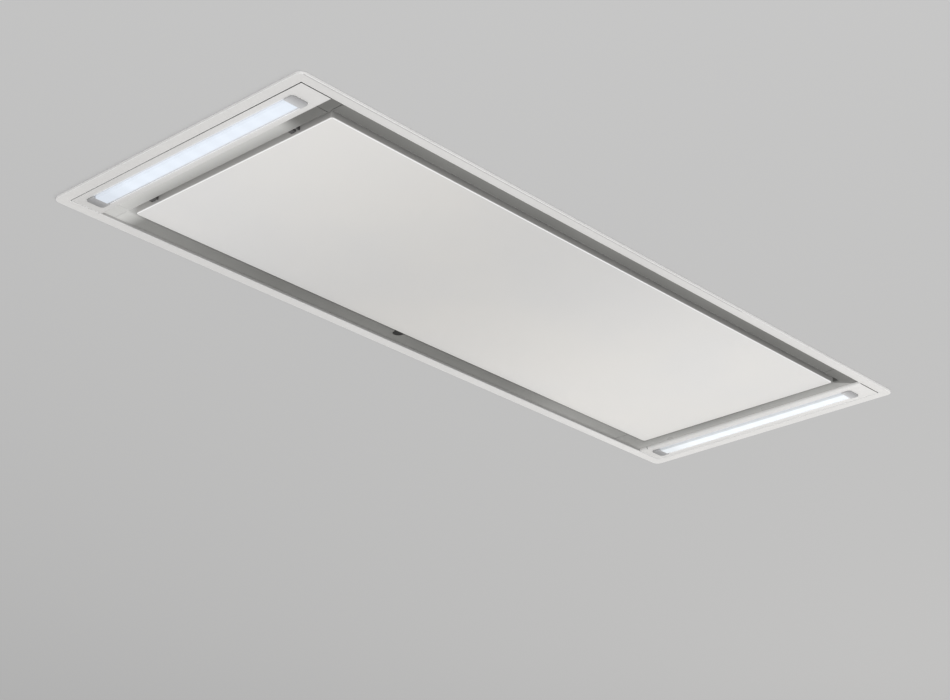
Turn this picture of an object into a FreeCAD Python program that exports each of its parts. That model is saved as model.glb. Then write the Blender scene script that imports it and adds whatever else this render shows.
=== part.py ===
"""Built-in ceiling range hood with a perimeter-suction panel and a light strip at each end.

Millimetres.  The origin is the centre of the cabinet cut-out, in the plane of the cabinet board's
underside, which the flange bears on.  +X runs along the hood to its right end, +Y runs back to the
wall, and +Z is up into the cabinet.
"""
import FreeCAD, Part, Sketcher
import os
import re
from FreeCAD import Rotation, Vector

SIZES = [
    # white trim frame
    ("FlangeLength", 864, "overall length"),
    ("FlangeDepth", 318, "overall depth, front to wall"),
    ("FlangeThick", 2, "flange below the cabinet board"),
    ("FlangeRadius", 7, "outer corner radius"),
    ("RimWidth", 10.7, "visible width of the rim"),
    ("RimLegThick", 1.5, "leg that stands in the cut-out"),
    ("RimLegHeight", 12, "height of that leg"),
    # grey channel sheets
    ("ChannelRise", 2.6, "channel face above the flange's lower face"),
    ("SheetThick", 1, "steel sheet"),
    ("BendRadius", 1.6, "outside radius of the sheet's bends"),
    ("AirSlot", 4.8, "air slot between panel and lip"),
    ("LipHeight", 11, "lip up from the channel face"),
    ("CaseGap", 1.3, "casing wall inside the channel's outer edge"),
    ("Play", 0.1, "play between sheets that lie together"),
    ("LegTop", 14, "top of the channels' outer legs"),
    ("SeamX", 341.5, "seam in the front and back channels"),
    ("SeamY", 127, "seams at the left end"),
    ("SeamGap", 0.7, "width of a seam"),
    # swinging panel
    ("PanelLength", 732, "panel length"),
    ("PanelDepth", 252.2, "panel depth"),
    ("PanelRise", 0.6, "panel face above the flange's lower face"),
    ("PanelSheet", 1.2, "panel sheet"),
    ("PanelHeight", 10, "height of the folded edge"),
    ("PanelRadius", 3, "corner radius"),
    ("PanelEdge", 0.8, "softened lower arris"),
    ("LinerDrop", 0.8, "liner below the top of the folded edge"),
    ("RibWidth", 18, "pressed rib of the liner"),
    ("RibPitch", 120, "distance between ribs"),
    ("RibHalfY", 105, "pressed rib, half length"),
    ("HingeY", 98, "hinge axis, back of centre"),
    ("HingeZ", 4, "hinge axis above the cabinet board's underside"),
    ("CatchY", -85, "catch pins, front of centre"),
    ("PinRadius", 1.5, "hinge and catch pins"),
    ("PinPlay", 0.05, "running play round a pin"),
    ("PinReach", 4, "catch pin, out of the panel's end"),
    ("BlockLength", 8, "hinge block, along the slot"),
    ("BlockLow", 1.4, "underside of hinge block and catch clip"),
    ("BlockTop", 10, "top of hinge block and catch clip"),
    ("BlockPlay", 1.1, "hinge block to the panel's end"),
    ("ClipPlay", 0.25, "catch clip round its pin"),
    ("ClipBack", 7, "back jaw of the catch clip, from the pin's axis"),
    ("ClipFront", 2.9, "front jaw of the catch clip, from the pin's axis"),
    ("BumperX", -25, "rubber bumper from the middle"),
    ("BumperRadius", 5.6, "rubber bumper"),
    ("BumperRoom", 1.6, "rubber bumper to the panel's back edge"),
    ("BumperHeight", 7, "rubber bumper"),
    # lights
    ("LightZone", 46.3, "flange end to the light plate's inner edge"),
    ("PlateGap", 0.8, "gap between light plate and rim"),
    ("PlateThick", 1.2, "light plate sheet"),
    ("PlateBend", 2.6, "outside radius of the light plate's inner bend"),
    ("PlateLip", 8, "height of the light plate's inner bend"),
    ("LightCentre", 28.5, "flange end to the middle of the light slot"),
    ("LightWidth", 19, "width of the light slot"),
    ("LightLength", 266.5, "length of the light slot"),
    ("LightShift", 4, "light slot back of centre"),
    ("LightRadius", 3.5, "corner radius of the light slot"),
    ("CapLength", 10.8, "end caps of the light profile"),
    ("DiffuserWidth", 14, "frosted strip"),
    ("DiffuserThick", 3.9, "frosted strip"),
    ("DiffuserProud", 1.4, "frosted strip, below the light plate"),
    ("CapProud", 1.1, "end caps, below the light plate"),
    ("ProfileTop", 14, "top of the light profile"),
    ("ProfileBase", 2, "web of the light profile"),
    ("BoardWidth", 10, "light board"),
    ("BoardThick", 1.5, "light board"),
    ("ChipSize", 3, "light chips"),
    ("HousingTop", 30, "top of the light housing"),
    ("TabHeight", 14, "housing tab on the casing wall"),
    # casing
    ("CasingTop", 96, "top of the lower casing"),
    ("CasingRadius", 3, "casing corner radius"),
    ("BoxHalfX", 190, "motor box, half length"),
    ("BoxHalfY", 135, "motor box, half depth"),
    ("BoxTop", 276, "top of the motor box"),
    ("BoxFlange", 14, "screwed flange of the motor box"),
    ("CabinetBoard", 18, "thickness of the cabinet's bottom board"),
    ("ClampX", 300, "clamp brackets from the middle"),
    ("ClampWidth", 40, "clamp bracket width"),
    ("ClampTop", 60, "top of the clamp brackets"),
    ("ClampThick", 1.5, "clamp bracket sheet"),
    ("ClampReach", 23, "foot, out from the casing wall"),
    ("WoodHoleY", 163.5, "wood screw holes from the middle"),
    ("WoodHoleRadius", 2.25, "wood screw holes"),
    # filters
    ("TrayLow", 38.9, "underside of the filter tray"),
    ("TrayWall", 14, "upturned edge of the tray"),
    ("WindowNear", 6, "filter window, end by the middle bar"),
    ("WindowFar", 372, "filter window, outer end"),
    ("WindowHalfY", 122, "filter window, half depth"),
    ("FilterPlay", 2, "filter to window, at the ends"),
    ("FilterFront", -120.5, "front edge of a filter"),
    ("FilterBack", 128, "back edge of a filter"),
    ("FilterLow", 40, "underside of a filter"),
    ("FilterHeight", 9, "filter frame height"),
    ("FilterRim", 12, "filter frame rim width"),
    ("FilterSheet", 1.2, "filter frame rim sheet"),
    ("PleatCount", 60, "slopes of the pleated mesh"),
    ("PleatThick", 1, "pleated mesh, measured upright"),
    ("LatchHalfX", 30, "latch plate, half length"),
    ("LatchTravel", 6, "latch travel"),
    # blower
    ("FanY", 35, "fan axis, back of centre"),
    ("FanZ", 168, "fan axis height"),
    ("FanRadius", 76, "impeller"),
    ("FanHalfX", 54, "impeller, half width"),
    ("FanRing", 3, "end rings and middle disc of the impeller"),
    ("FanRingWidth", 6, "end ring, radially"),
    ("BladeStart", 63, "inner end of a blade"),
    ("BladeBend", 12, "bend radius of a blade"),
    ("BladeThick", 1.2, "blade"),
    ("BladeTurn", 20, "blade tip short of a quarter turn, degrees"),
    ("BladeCount", 36, "blades"),
    ("HubRadius", 18, "impeller hub"),
    ("HubHalfX", 12, "impeller hub, half length"),
    ("ShaftRadius", 4, "fan shaft"),
    ("ScrollHalfX", 60, "scroll, half width"),
    ("ScrollWall", 2, "scroll wall"),
    ("ScrollStart", 88, "first quarter of the scroll"),
    ("ScrollStep", 9, "growth of the scroll each quarter"),
    ("NeckWidth", 90, "scroll neck, front to back"),
    ("InletRadius", 58, "scroll inlets"),
    ("MotorRadius", 42, "motor"),
    ("MotorEnd", -14, "inner end of the motor"),
    ("ArmWidth", 14, "motor bracket arms"),
    # outlet
    ("OutletY", -30.5, "outlet centre, front of centre"),
    ("OutletRadius", 74.5, "outside of the outlet collar, for 150 mm duct"),
    ("OutletWall", 1.5, "collar wall"),
    ("OutletTop", 318, "top of the collar"),
    ("OutletPlate", 88, "collar base plate, half side"),
    ("OutletPlateThick", 1.5, "collar base plate"),
    ("FlapZ", 284, "flap rods"),
    ("FlapOffset", 4, "flap rods from the collar's middle"),
    ("FlapThick", 1.5, "flap"),
    ("FlapRadius", 71.5, "flap"),
    ("FlapBarrel", 3.2, "flap barrel"),
    ("FlapRod", 1.5, "flap rod"),
    ("LedgeWidth", 2.5, "ledge that stops the flaps"),
    ("LedgeHeight", 1.8, "ledge that stops the flaps"),
    # electrics
    ("ControlX", 215, "control box, near end"),
    ("ControlLength", 135, "control box"),
    ("ControlHalfY", 85, "control box, half depth"),
    ("ControlHeight", 42, "control box"),
    ("ControlWall", 2, "control box wall"),
    ("LidHeight", 4, "control box lid"),
    ("GlandX", 300, "cable gland"),
    ("GlandBore", 4, "cable gland bore, radius"),
    ("GlandBody", 8, "cable gland body, radius"),
    ("GlandNut", 11, "cable gland nut, radius over corners"),
    ("GlandReach", 20, "cable gland, out of the box"),
    ("DriverX", -350, "lamp driver, near end"),
    ("DriverLength", 110, "lamp driver"),
    ("DriverHalfY", 26, "lamp driver, half width"),
    ("DriverHeight", 24, "lamp driver"),
    ("CapRadius", 17.5, "capacitor"),
    ("CapHeight", 62, "capacitor"),
    # screws
    ("ScrewRadius", 2, "screw shank"),
    ("ScrewPlay", 0.06, "screw hole, larger than its shank"),
    ("HeadRadius", 4, "screw head"),
    ("HeadHeight", 2.4, "screw head"),
]

# Planes and edges that more than one piece shares, as expressions of the sheet's sizes.
RIM_X = "(FlangeLength / 2 - RimWidth)"
RIM_Y = "(FlangeDepth / 2 - RimWidth)"
LIGHT_X = "(FlangeLength / 2 - LightZone)"
CASE_X = "(FlangeLength / 2 - LightZone - CaseGap)"
CASE_Y = "(FlangeDepth / 2 - RimWidth - CaseGap)"
LEG_X = "(FlangeLength / 2 - LightZone - CaseGap + Play + SheetThick)"
LEG_Y = "(FlangeDepth / 2 - RimWidth - CaseGap + Play + SheetThick)"
LIP_X = "(PanelLength / 2 + AirSlot)"
LIP_Y = "(PanelDepth / 2 + AirSlot)"
FACE = "(ChannelRise - FlangeThick)"
LIP_TOP = "(ChannelRise - FlangeThick + LipHeight)"
PANEL_LOW = "(PanelRise - FlangeThick)"
PANEL_TOP = "(PanelRise - FlangeThick + PanelHeight)"
LIGHT_MID = "(LightCentre - FlangeLength / 2)"
SLOT_FRONT = "(LightShift - LightLength / 2)"
SLOT_BACK = "(LightShift + LightLength / 2)"
TRAY_TOP = "(TrayLow + SheetThick)"
FILTER_TOP = "(FilterLow + FilterHeight)"

doc = FreeCAD.newDocument("ceiling_range_hood")
sheet = doc.addObject("Spreadsheet::Sheet", "Dims")
parts = []
casing_screws = []
blower_screws = []


# ---------------------------------------------------------------- sheet and expressions

def fill_sheet():
    for row, (alias, value, meaning) in enumerate(SIZES, start=1):
        sheet.set(f"A{row}", alias)
        sheet.set(f"B{row}", str(value))
        sheet.set(f"C{row}", meaning)
        sheet.setAlias(f"B{row}", alias)
    doc.recompute()


ALIASES = {alias for alias, _, _ in SIZES}


def bind(text):
    """An expression of the sheet's sizes, from one written with their bare names."""
    def cell(match):
        word = match.group(0)
        return "Dims." + word if word in ALIASES else word
    return re.sub(r"[A-Z][A-Za-z]+", cell, str(text))


def number(text):
    return float(sheet.evalExpression(bind(text)))


# ---------------------------------------------------------------- sketched prisms

PLANES = {"x": "YZ_Plane", "y": "XZ_Plane", "z": "XY_Plane"}


class Outline:
    """Closed loops drawn in a sketch, every point tied to the sheet."""

    def __init__(self, sketch):
        self.sketch = sketch

    def pin_down(self, kind, geometry, point, text):
        index = self.sketch.addConstraint(
            self.sketch_constraint(kind, geometry, point, number(text)))
        self.sketch.setExpression(f"Constraints[{index}]", bind(text))

    @staticmethod
    def sketch_constraint(kind, geometry, point, value):
        if kind == "Radius":
            return Sketcher.Constraint(kind, geometry, value)
        return Sketcher.Constraint(kind, -1, 1, geometry, point, value)

    def join(self, first, first_point, second, second_point):
        self.sketch.addConstraint(
            Sketcher.Constraint("Coincident", first, first_point, second, second_point))

    def circle(self, u, v, radius):
        centre = Vector(number(u), number(v), 0)
        index = self.sketch.addGeometry(
            Part.Circle(centre, Vector(0, 0, 1), number(radius)), False)
        self.pin_down("DistanceX", index, 3, u)
        self.pin_down("DistanceY", index, 3, v)
        self.pin_down("Radius", index, 0, radius)

    def path(self, steps):
        """Steps are (u, v), a straight run to that point, or (u, v, centre u, centre v, turn)
        for an arc about that centre, turn +1 anticlockwise or -1 clockwise."""
        spots = [Vector(number(step[0]), number(step[1]), 0) for step in steps]
        ends = []
        for place, step in enumerate(steps):
            start = spots[place - 1]
            stop = spots[place]
            if len(step) == 2:
                index = self.sketch.addGeometry(Part.LineSegment(start, stop), False)
                ends.append((index, 1, 2))
                continue
            centre = Vector(number(step[2]), number(step[3]), 0)
            circle = Part.Circle(centre, Vector(0, 0, 1), (start - centre).Length)
            low, high = (start, stop) if step[4] > 0 else (stop, start)
            arc = Part.ArcOfCircle(circle, circle.parameter(low), circle.parameter(high))
            index = self.sketch.addGeometry(arc, False)
            ends.append((index, 1, 2) if step[4] > 0 else (index, 2, 1))
        for place, (index, start_point, stop_point) in enumerate(ends):
            following, next_start, _ = ends[(place + 1) % len(ends)]
            self.join(index, stop_point, following, next_start)
            self.pin_down("DistanceX", index, stop_point, steps[place][0])
            self.pin_down("DistanceY", index, stop_point, steps[place][1])
            if len(steps[place]) == 5:
                # the centre lies on the chord's bisector, so one coordinate settles it
                chord = spots[place] - spots[place - 1]
                if abs(chord.x) > abs(chord.y):
                    self.pin_down("DistanceY", index, 3, steps[place][3])
                else:
                    self.pin_down("DistanceX", index, 3, steps[place][2])

    def rect(self, u0, u1, v0, v1):
        self.path([(u1, v0), (u1, v1), (u0, v1), (u0, v0)])

    def rounded(self, u0, u1, v0, v1, size):
        radius = f"({size})"
        self.path([
            (f"({u1}) - {radius}", v0),
            (u1, f"({v0}) + {radius}", f"({u1}) - {radius}", f"({v0}) + {radius}", 1),
            (u1, f"({v1}) - {radius}"),
            (f"({u1}) - {radius}", v1, f"({u1}) - {radius}", f"({v1}) - {radius}", 1),
            (f"({u0}) + {radius}", v1),
            (u0, f"({v1}) - {radius}", f"({u0}) + {radius}", f"({v1}) - {radius}", 1),
            (u0, f"({v0}) + {radius}"),
            (f"({u0}) + {radius}", v0, f"({u0}) + {radius}", f"({v0}) + {radius}", 1),
        ])


def sketch_in(body, axis, place):
    """A sketch across the axis, at that place along it."""
    sketch = body.newObject("Sketcher::SketchObject", body.Name + "_sketch")
    planes = [item for item in body.Origin.OriginFeatures if item.Role == PLANES[axis]]
    sketch.AttachmentSupport = [(planes[0], "")]
    sketch.MapMode = "FlatFace"
    # the XZ plane's own normal is -Y
    sign = "-" if axis == "y" else ""
    sketch.setExpression("AttachmentOffset.Base.z", bind(f"{sign}({place})"))
    return sketch


def pad_in(body, sketch, length):
    pad = body.newObject("PartDesign::Pad", body.Name + "_pad")
    pad.Profile = sketch
    pad.setExpression("Length", bind(length))
    sketch.Visibility = False
    return pad


def prism(name, axis, low, high, *loops):
    """A body whose section is the loops, from low to high along the axis.  A loop is the name of
    an Outline method and what that takes.  Sections across Y are drawn as (x, z)."""
    body = doc.addObject("PartDesign::Body", name)
    sketch = sketch_in(body, axis, high if axis == "y" else low)
    outline = Outline(sketch)
    for kind, *values in loops:
        getattr(outline, kind)(*values)
    pad_in(body, sketch, f"({high}) - ({low})")
    return body


# ---------------------------------------------------------------- primitives and booleans

TURNS = {"x": Rotation(Vector(0, 1, 0), 90), "y": Rotation(Vector(1, 0, 0), -90), "z": Rotation()}


def placed(item, x, y, z):
    for letter, text in zip("xyz", (x, y, z)):
        item.setExpression(f"Placement.Base.{letter}", bind(text))


def block(name, xs, ys, zs):
    item = doc.addObject("Part::Box", name)
    for prop, (low, high) in zip(("Length", "Width", "Height"), (xs, ys, zs)):
        item.setExpression(prop, bind(f"({high}) - ({low})"))
    placed(item, xs[0], ys[0], zs[0])
    return item


def rod(name, axis, start, radius, length):
    """A cylinder from its start point along +axis."""
    item = doc.addObject("Part::Cylinder", name)
    item.Placement = FreeCAD.Placement(Vector(), TURNS[axis])
    item.setExpression("Radius", bind(radius))
    item.setExpression("Height", bind(length))
    placed(item, *start)
    return item


def fuse(name, *items):
    item = doc.addObject("Part::MultiFuse", name)
    item.Shapes = list(items)
    item.Refine = True
    return item


def group(name, *items):
    item = doc.addObject("Part::Compound", name)
    item.Links = list(items)
    return item


def cut(name, base, *tools):
    item = doc.addObject("Part::Cut", name)
    item.Base = base
    item.Tool = tools[0] if len(tools) == 1 else group(name + "_tools", *tools)
    item.Refine = True
    return item


def mirrored(name, source, normal):
    item = doc.addObject("Part::Mirroring", name)
    item.Source = source
    item.Base = Vector()
    item.Normal = normal
    return item


def part(node, item):
    item.Label = node
    parts.append(item)
    return item


ACROSS_X = Vector(1, 0, 0)
ACROSS_Y = Vector(0, 1, 0)


def pair_by_x(stem, item):
    """The left piece, and its mirror image at the right end."""
    part(stem + "_left", item)
    return part(stem + "_right", mirrored(stem + "_image", item, ACROSS_X))


# ---------------------------------------------------------------- screws

def screw(name, axis, sign, seat, length):
    """A screw whose head stands on the seat and whose shank points the other way from sign."""
    x, y, z = seat
    heads = {"x": (x if sign > 0 else f"({x}) - HeadHeight", y, z),
             "y": (x, y if sign > 0 else f"({y}) - HeadHeight", z),
             "z": (x, y, z if sign > 0 else f"({z}) - HeadHeight")}
    shanks = {"x": (f"({x}) - {length}" if sign > 0 else x, y, z),
              "y": (x, f"({y}) - {length}" if sign > 0 else y, z),
              "z": (x, y, f"({z}) - {length}" if sign > 0 else z)}
    head = rod(name + "_head", axis, heads[axis], "HeadRadius", "HeadHeight")
    shank = rod(name + "_shank", axis, shanks[axis], "ScrewRadius", length)
    return fuse(name, head, shank)


def drill(name, axis, centre, reach):
    """A cutter for a screw hole, reaching that far both ways from its centre."""
    start = list(centre)
    spot = "xyz".index(axis)
    start[spot] = f"({start[spot]}) - {reach}"
    return rod(name, axis, tuple(start), "(ScrewRadius + ScrewPlay)", 2 * reach)


def screws(name, axis, sign, seats, length):
    return [screw(f"{name}_{place}", axis, sign, seat, length)
            for place, seat in enumerate(seats)]


def drills(name, axis, centres, reach=8):
    return [drill(f"{name}_drill_{place}", axis, centre, reach)
            for place, centre in enumerate(centres)]


TRIM_SPOTS = [(x, y) for x in (-320, -110, 110, 320) for y in (-1, 1)]
TRIM_Z = 7
BOX_SPOTS = [(x, y) for x in (-100, 100) for y in (-1, 1)]
CLAMP_SIDE = 12
CLAMP_Z = 42


# ---------------------------------------------------------------- trim frame

def make_trim_frame():
    flange = prism("flange", "z", "-FlangeThick", "0",
                   ("rounded", "-FlangeLength / 2", "FlangeLength / 2",
                    "-FlangeDepth / 2", "FlangeDepth / 2", "FlangeRadius"),
                   ("rect", f"-{RIM_X}", RIM_X, f"-{RIM_Y}", RIM_Y))
    leg = prism("flange_leg", "z", "-FlangeThick / 2", "RimLegHeight",
                ("rect", f"-{RIM_X} - RimLegThick", f"{RIM_X} + RimLegThick",
                 f"-{RIM_Y} - RimLegThick", f"{RIM_Y} + RimLegThick"),
                ("rect", f"-{RIM_X}", RIM_X, f"-{RIM_Y}", RIM_Y))
    holes = drills("trim", "y", [(x, f"{side} * {RIM_Y}", TRIM_Z) for x, side in TRIM_SPOTS])
    part("trim_frame", cut("trim_frame", fuse("trim_joined", flange, leg), *holes))
    rows = []
    for sign in (-1, 1):
        seats = [(x, f"{sign} * ({CASE_Y} - SheetThick)", TRIM_Z) for x, s in TRIM_SPOTS if s == sign]
        rows += screws(f"trim_{sign + 1}", "y", -sign, seats, 4)
    part("trim_screws", group("trim_screws", *rows))


# ---------------------------------------------------------------- channels

def lipped(name, axis, low, high, lip, leg, case):
    """Folded channel sheet with its lip on the low side of u and its leg on the high side."""
    inside = "(BendRadius - SheetThick)"
    return prism(name, axis, low, high, ("path", [
        (leg, FACE),
        (leg, "LegTop"),
        (f"{case} + Play", "LegTop"),
        (f"{case} + Play", f"{FACE} + SheetThick"),
        (f"{lip} + BendRadius", f"{FACE} + SheetThick"),
        (f"{lip} + SheetThick", f"{FACE} + BendRadius",
         f"{lip} + BendRadius", f"{FACE} + SheetThick + {inside}", -1),
        (f"{lip} + SheetThick", LIP_TOP),
        (lip, LIP_TOP),
        (lip, f"{FACE} + BendRadius"),
        (f"{lip} + BendRadius", FACE, f"{lip} + BendRadius", f"{FACE} + BendRadius", 1),
    ]))


def corner_plate(name, x_low, x_high, y_low):
    """Flat corner between a long channel's lip and the end, with the long leg carried on."""
    plate = block(name + "_flat", (x_low, x_high), (y_low, LEG_Y),
                  (FACE, f"{FACE} + SheetThick"))
    leg = block(name + "_leg", (x_low, x_high), (f"{CASE_Y} + Play", LEG_Y), (FACE, "LegTop"))
    return fuse(name, plate, leg)


def long_channel(name):
    """A front or back sheet: its long run, the left corner and the lip that turns it."""
    run = lipped(name + "_run", "x", f"-{LIP_X} - SheetThick", "SeamX - SeamGap / 2",
                 LIP_Y, LEG_Y, CASE_Y)
    corner = corner_plate(name + "_corner", f"-{LEG_X}", f"-{LIP_X} - BendRadius",
                          "SeamY + SeamGap / 2")
    turn = lipped(name + "_turn", "y", "SeamY + SeamGap / 2", f"{LIP_Y} + SheetThick",
                  LIP_X, LEG_X, CASE_X)
    return fuse(name, run, corner, mirrored(name + "_left_turn", turn, ACROSS_X))


def channel_drills(name, wanted):
    return drills(name, "y", [(x, f"{LEG_Y} - SheetThick / 2", TRIM_Z)
                              for x, sign in TRIM_SPOTS if sign == wanted], 4)


def make_channels():
    notch = block("bumper_notch", ("BumperX - BumperRadius - Play", "BumperX + BumperRadius + Play"),
                  (f"{LIP_Y} - 1", f"{LIP_Y} + SheetThick"), (f"{FACE} - 1", f"{LIP_TOP} + 1"))
    dome = rod("bumper_dome_notch", "z", ("BumperX", f"{LIP_Y} + SheetThick", f"{FACE} - 1"),
               "BumperRadius + Play", "LipHeight")
    part("channel_back", cut("channel_back", long_channel("back_sheet"), notch, dome,
                             *channel_drills("channel_back", 1)))
    drilled = cut("front_sheet_drilled", long_channel("front_sheet"),
                  *channel_drills("channel_front", 1))
    part("channel_front", mirrored("channel_front", drilled, ACROSS_Y))

    # The end channels fold along Y, and the right one carries both corners to the seams.
    end = lipped("end_sheet", "y", "-SeamY + SeamGap / 2", "SeamY - SeamGap / 2",
                 LIP_X, LEG_X, CASE_X)
    part("channel_left", cut("channel_left", mirrored("end_left", end, ACROSS_X),
                             pin_hole("left_pin_hole")))
    right_end = lipped("right_end_sheet", "y", f"-{LIP_Y} - SheetThick", f"{LIP_Y} + SheetThick",
                       LIP_X, LEG_X, CASE_X)
    stub = lipped("right_stub", "x", "SeamX + SeamGap / 2", f"{LIP_X} + SheetThick",
                  LIP_Y, LEG_Y, CASE_Y)
    corner = corner_plate("right_corner", f"{LIP_X} + SheetThick", LEG_X, LIP_Y)
    corner_back = fuse("right_back", stub, corner)
    corner_front = mirrored("right_front", corner_back, ACROSS_Y)
    whole = fuse("right_whole", right_end, corner_back, corner_front)
    part("channel_right", cut("channel_right", whole,
                              mirrored("right_pin_hole", pin_hole("pin_hole_image"), ACROSS_X)))

    body = fuse("bumper_joined",
                block("bumper_block", ("BumperX - BumperRadius", "BumperX + BumperRadius"),
                      ("PanelDepth / 2 + BumperRoom", f"{LIP_Y} + SheetThick"),
                      (FACE, BUMPER_TOP)),
                rod("bumper_dome", "z", ("BumperX", f"{LIP_Y} + SheetThick", FACE),
                    "BumperRadius", f"{BUMPER_TOP} - {FACE}"))
    clear = block("bumper_front", ("BumperX - 10", "BumperX + 10"),
                  ("PanelDepth / 2 - 5", "PanelDepth / 2 + BumperRoom"),
                  (f"{FACE} - 1", f"{BUMPER_TOP} + 1"))
    part("panel_bumper", cut("panel_bumper", body, clear))


BUMPER_TOP = f"({FACE} + BumperHeight)"


def pin_hole(name):
    """Cutter for the left lip's hole, which the hinge pin passes through."""
    return rod(name, "x", (f"-{LIP_X} - 4", "HingeY", "HingeZ"), "PinRadius + PinPlay", 8)


# ---------------------------------------------------------------- swinging panel

def make_panel():
    outer = prism("panel_outer", "z", PANEL_LOW, PANEL_TOP,
                  ("rounded", "-PanelLength / 2", "PanelLength / 2",
                   "-PanelDepth / 2", "PanelDepth / 2", "PanelRadius"))
    soften_lower_arris(outer)
    inner = prism("panel_inner", "z", f"{PANEL_LOW} + PanelSheet", f"{PANEL_TOP} + 1",
                  ("rounded", "-PanelLength / 2 + PanelSheet", "PanelLength / 2 - PanelSheet",
                   "-PanelDepth / 2 + PanelSheet", "PanelDepth / 2 - PanelSheet",
                   "PanelRadius - PanelSheet"))
    holes = [rod(f"panel_pin_hole_{side}_{place}", "x",
                 (f"{side} * PanelLength / 2 - 8", y, "HingeZ"), "PinRadius + PinPlay", 16)
             for side in (-1, 1) for place, y in enumerate(("HingeY", "CatchY"))]
    part("suction_panel", cut("suction_panel", outer, inner, *holes))

    edge = "(PanelSheet + Play)"
    top = f"({PANEL_TOP} - LinerDrop)"
    liner = prism("liner_sheet", "z", f"{top} - PanelSheet", top,
                  ("rounded", f"-PanelLength / 2 + {edge}", f"PanelLength / 2 - {edge}",
                   f"-PanelDepth / 2 + {edge}", f"PanelDepth / 2 - {edge}",
                   "PanelRadius - PanelSheet"))
    ribs = [block(f"liner_rib_{place}",
                  (f"{place} * RibPitch - RibWidth / 2", f"{place} * RibPitch + RibWidth / 2"),
                  ("-RibHalfY", "RibHalfY"), (f"{PANEL_LOW} + PanelSheet + Play", f"{top} - PanelSheet / 2"))
            for place in (-2, -1, 0, 1, 2)]
    part("panel_liner", cut("panel_liner", fuse("liner_joined", liner, *ribs),
                            *[rib_hollow(place) for place in (-2, -1, 0, 1, 2)]))
    part("panel_lugs", group("panel_lugs", *[lug(side, y) for side in (-1, 1)
                                             for y in ("HingeY", "CatchY")]))
    part("catch_pins", group("catch_pins", *[catch_pin(side) for side in (-1, 1)]))


def rib_hollow(place):
    """The groove that the pressed rib leaves in the liner's upper face."""
    return block(f"rib_hollow_{place + 2}",
                 (f"{place} * RibPitch - RibWidth / 2 + PanelSheet",
                  f"{place} * RibPitch + RibWidth / 2 - PanelSheet"),
                 ("-RibHalfY + PanelSheet", "RibHalfY - PanelSheet"),
                 (f"{PANEL_LOW} + 2 * PanelSheet + Play", f"{PANEL_TOP} + 1"))


def soften_lower_arris(body):
    doc.recompute()
    pad = body.Tip
    lowest = pad.Shape.BoundBox.ZMin
    edges = [f"Edge{index}" for index, edge in enumerate(pad.Shape.Edges, start=1)
             if edge.BoundBox.ZMax < lowest + 1e-3]
    fillet = body.newObject("PartDesign::Fillet", body.Name + "_arris")
    fillet.Base = (pad, edges)
    fillet.setExpression("Radius", bind("PanelEdge"))
    body.Tip = fillet


def lug(side, y):
    """A block in the panel's end, behind the folded edge, that a pin turns or sits in."""
    near = "(PanelLength / 2 - PanelSheet - Play)"
    ends = sorted((f"{side} * {near}", f"{side} * ({near} - 9)"), key=number)
    name = f"lug_{side + 1}_{y}"
    body = block(name, ends, (f"{y} - 6", f"{y} + 6"),
                 (f"{PANEL_LOW} + PanelSheet + Play", f"{PANEL_TOP} - LinerDrop - PanelSheet - Play"))
    radius = "PinRadius + PinPlay" if y == "HingeY" else "PinRadius"
    return cut(name + "_bored", body,
               rod(name + "_bore", "x", (f"{side} * {near} - 12", y, "HingeZ"), radius, 24))


def catch_pin(side):
    """A pin pressed into the front lug, standing out into the clip."""
    low, high = sorted((f"{side} * (PanelLength / 2 - 8)",
                        f"{side} * (PanelLength / 2 + PinReach)"), key=number)
    return rod(f"catch_pin_{side + 1}", "x", (low, "CatchY", "HingeZ"), "PinRadius",
               f"({high}) - ({low})")


def make_hinges():
    block_left = block("hinge_block_solid", (f"-{LIP_X} + Play", "-PanelLength / 2 - BlockPlay"),
                       ("HingeY - BlockLength / 2", "HingeY + BlockLength / 2"),
                       ("BlockLow", "BlockTop"))
    hinge = cut("hinge_block_bored", block_left,
                rod("hinge_block_bore", "x", (f"-{LIP_X} - 1", "HingeY", "HingeZ"),
                    "PinRadius", 10))
    part("hinge_blocks", group("hinge_blocks", hinge,
                               mirrored("hinge_block_right", hinge, ACROSS_X)))
    pin = fuse("hinge_pin_joined",
               rod("hinge_pin_shank", "x", (f"-{LIP_X} - SheetThick - 1", "HingeY", "HingeZ"),
                   "PinRadius", f"{LIP_X} + SheetThick + 1 - PanelLength / 2 + 8"),
               rod("hinge_pin_head", "x", (f"-{LIP_X} - SheetThick - 2.5", "HingeY", "HingeZ"),
                   "PinRadius + 0.3", "1.5"))
    part("hinge_pins", group("hinge_pins", pin, mirrored("hinge_pin_right", pin, ACROSS_X)))
    clip_solid = block("clip_solid", (f"-{LIP_X} + Play", "-PanelLength / 2 - 4 * Play"),
                       ("CatchY - ClipFront", "CatchY + ClipBack"), ("BlockLow", "BlockTop"))
    mouth = block("clip_mouth", (f"-{LIP_X} - 1", "-PanelLength / 2 + 1"),
                  ("CatchY - PinRadius - ClipPlay", "CatchY + PinRadius + ClipPlay"), (-1, "HingeZ"))
    seat = rod("clip_seat", "x", (f"-{LIP_X} - 1", "CatchY", "HingeZ"), "PinRadius + ClipPlay", 10)
    clip = cut("clip_open", clip_solid, mouth, seat)
    part("catch_clips", group("catch_clips", clip, mirrored("clip_right", clip, ACROSS_X)))


# ---------------------------------------------------------------- lights

def slot_loop(inset, radius):
    return ("rounded", f"{LIGHT_MID} - LightWidth / 2 + {inset}",
            f"{LIGHT_MID} + LightWidth / 2 - {inset}",
            f"{SLOT_FRONT} + {inset}", f"{SLOT_BACK} - {inset}", radius)


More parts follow.
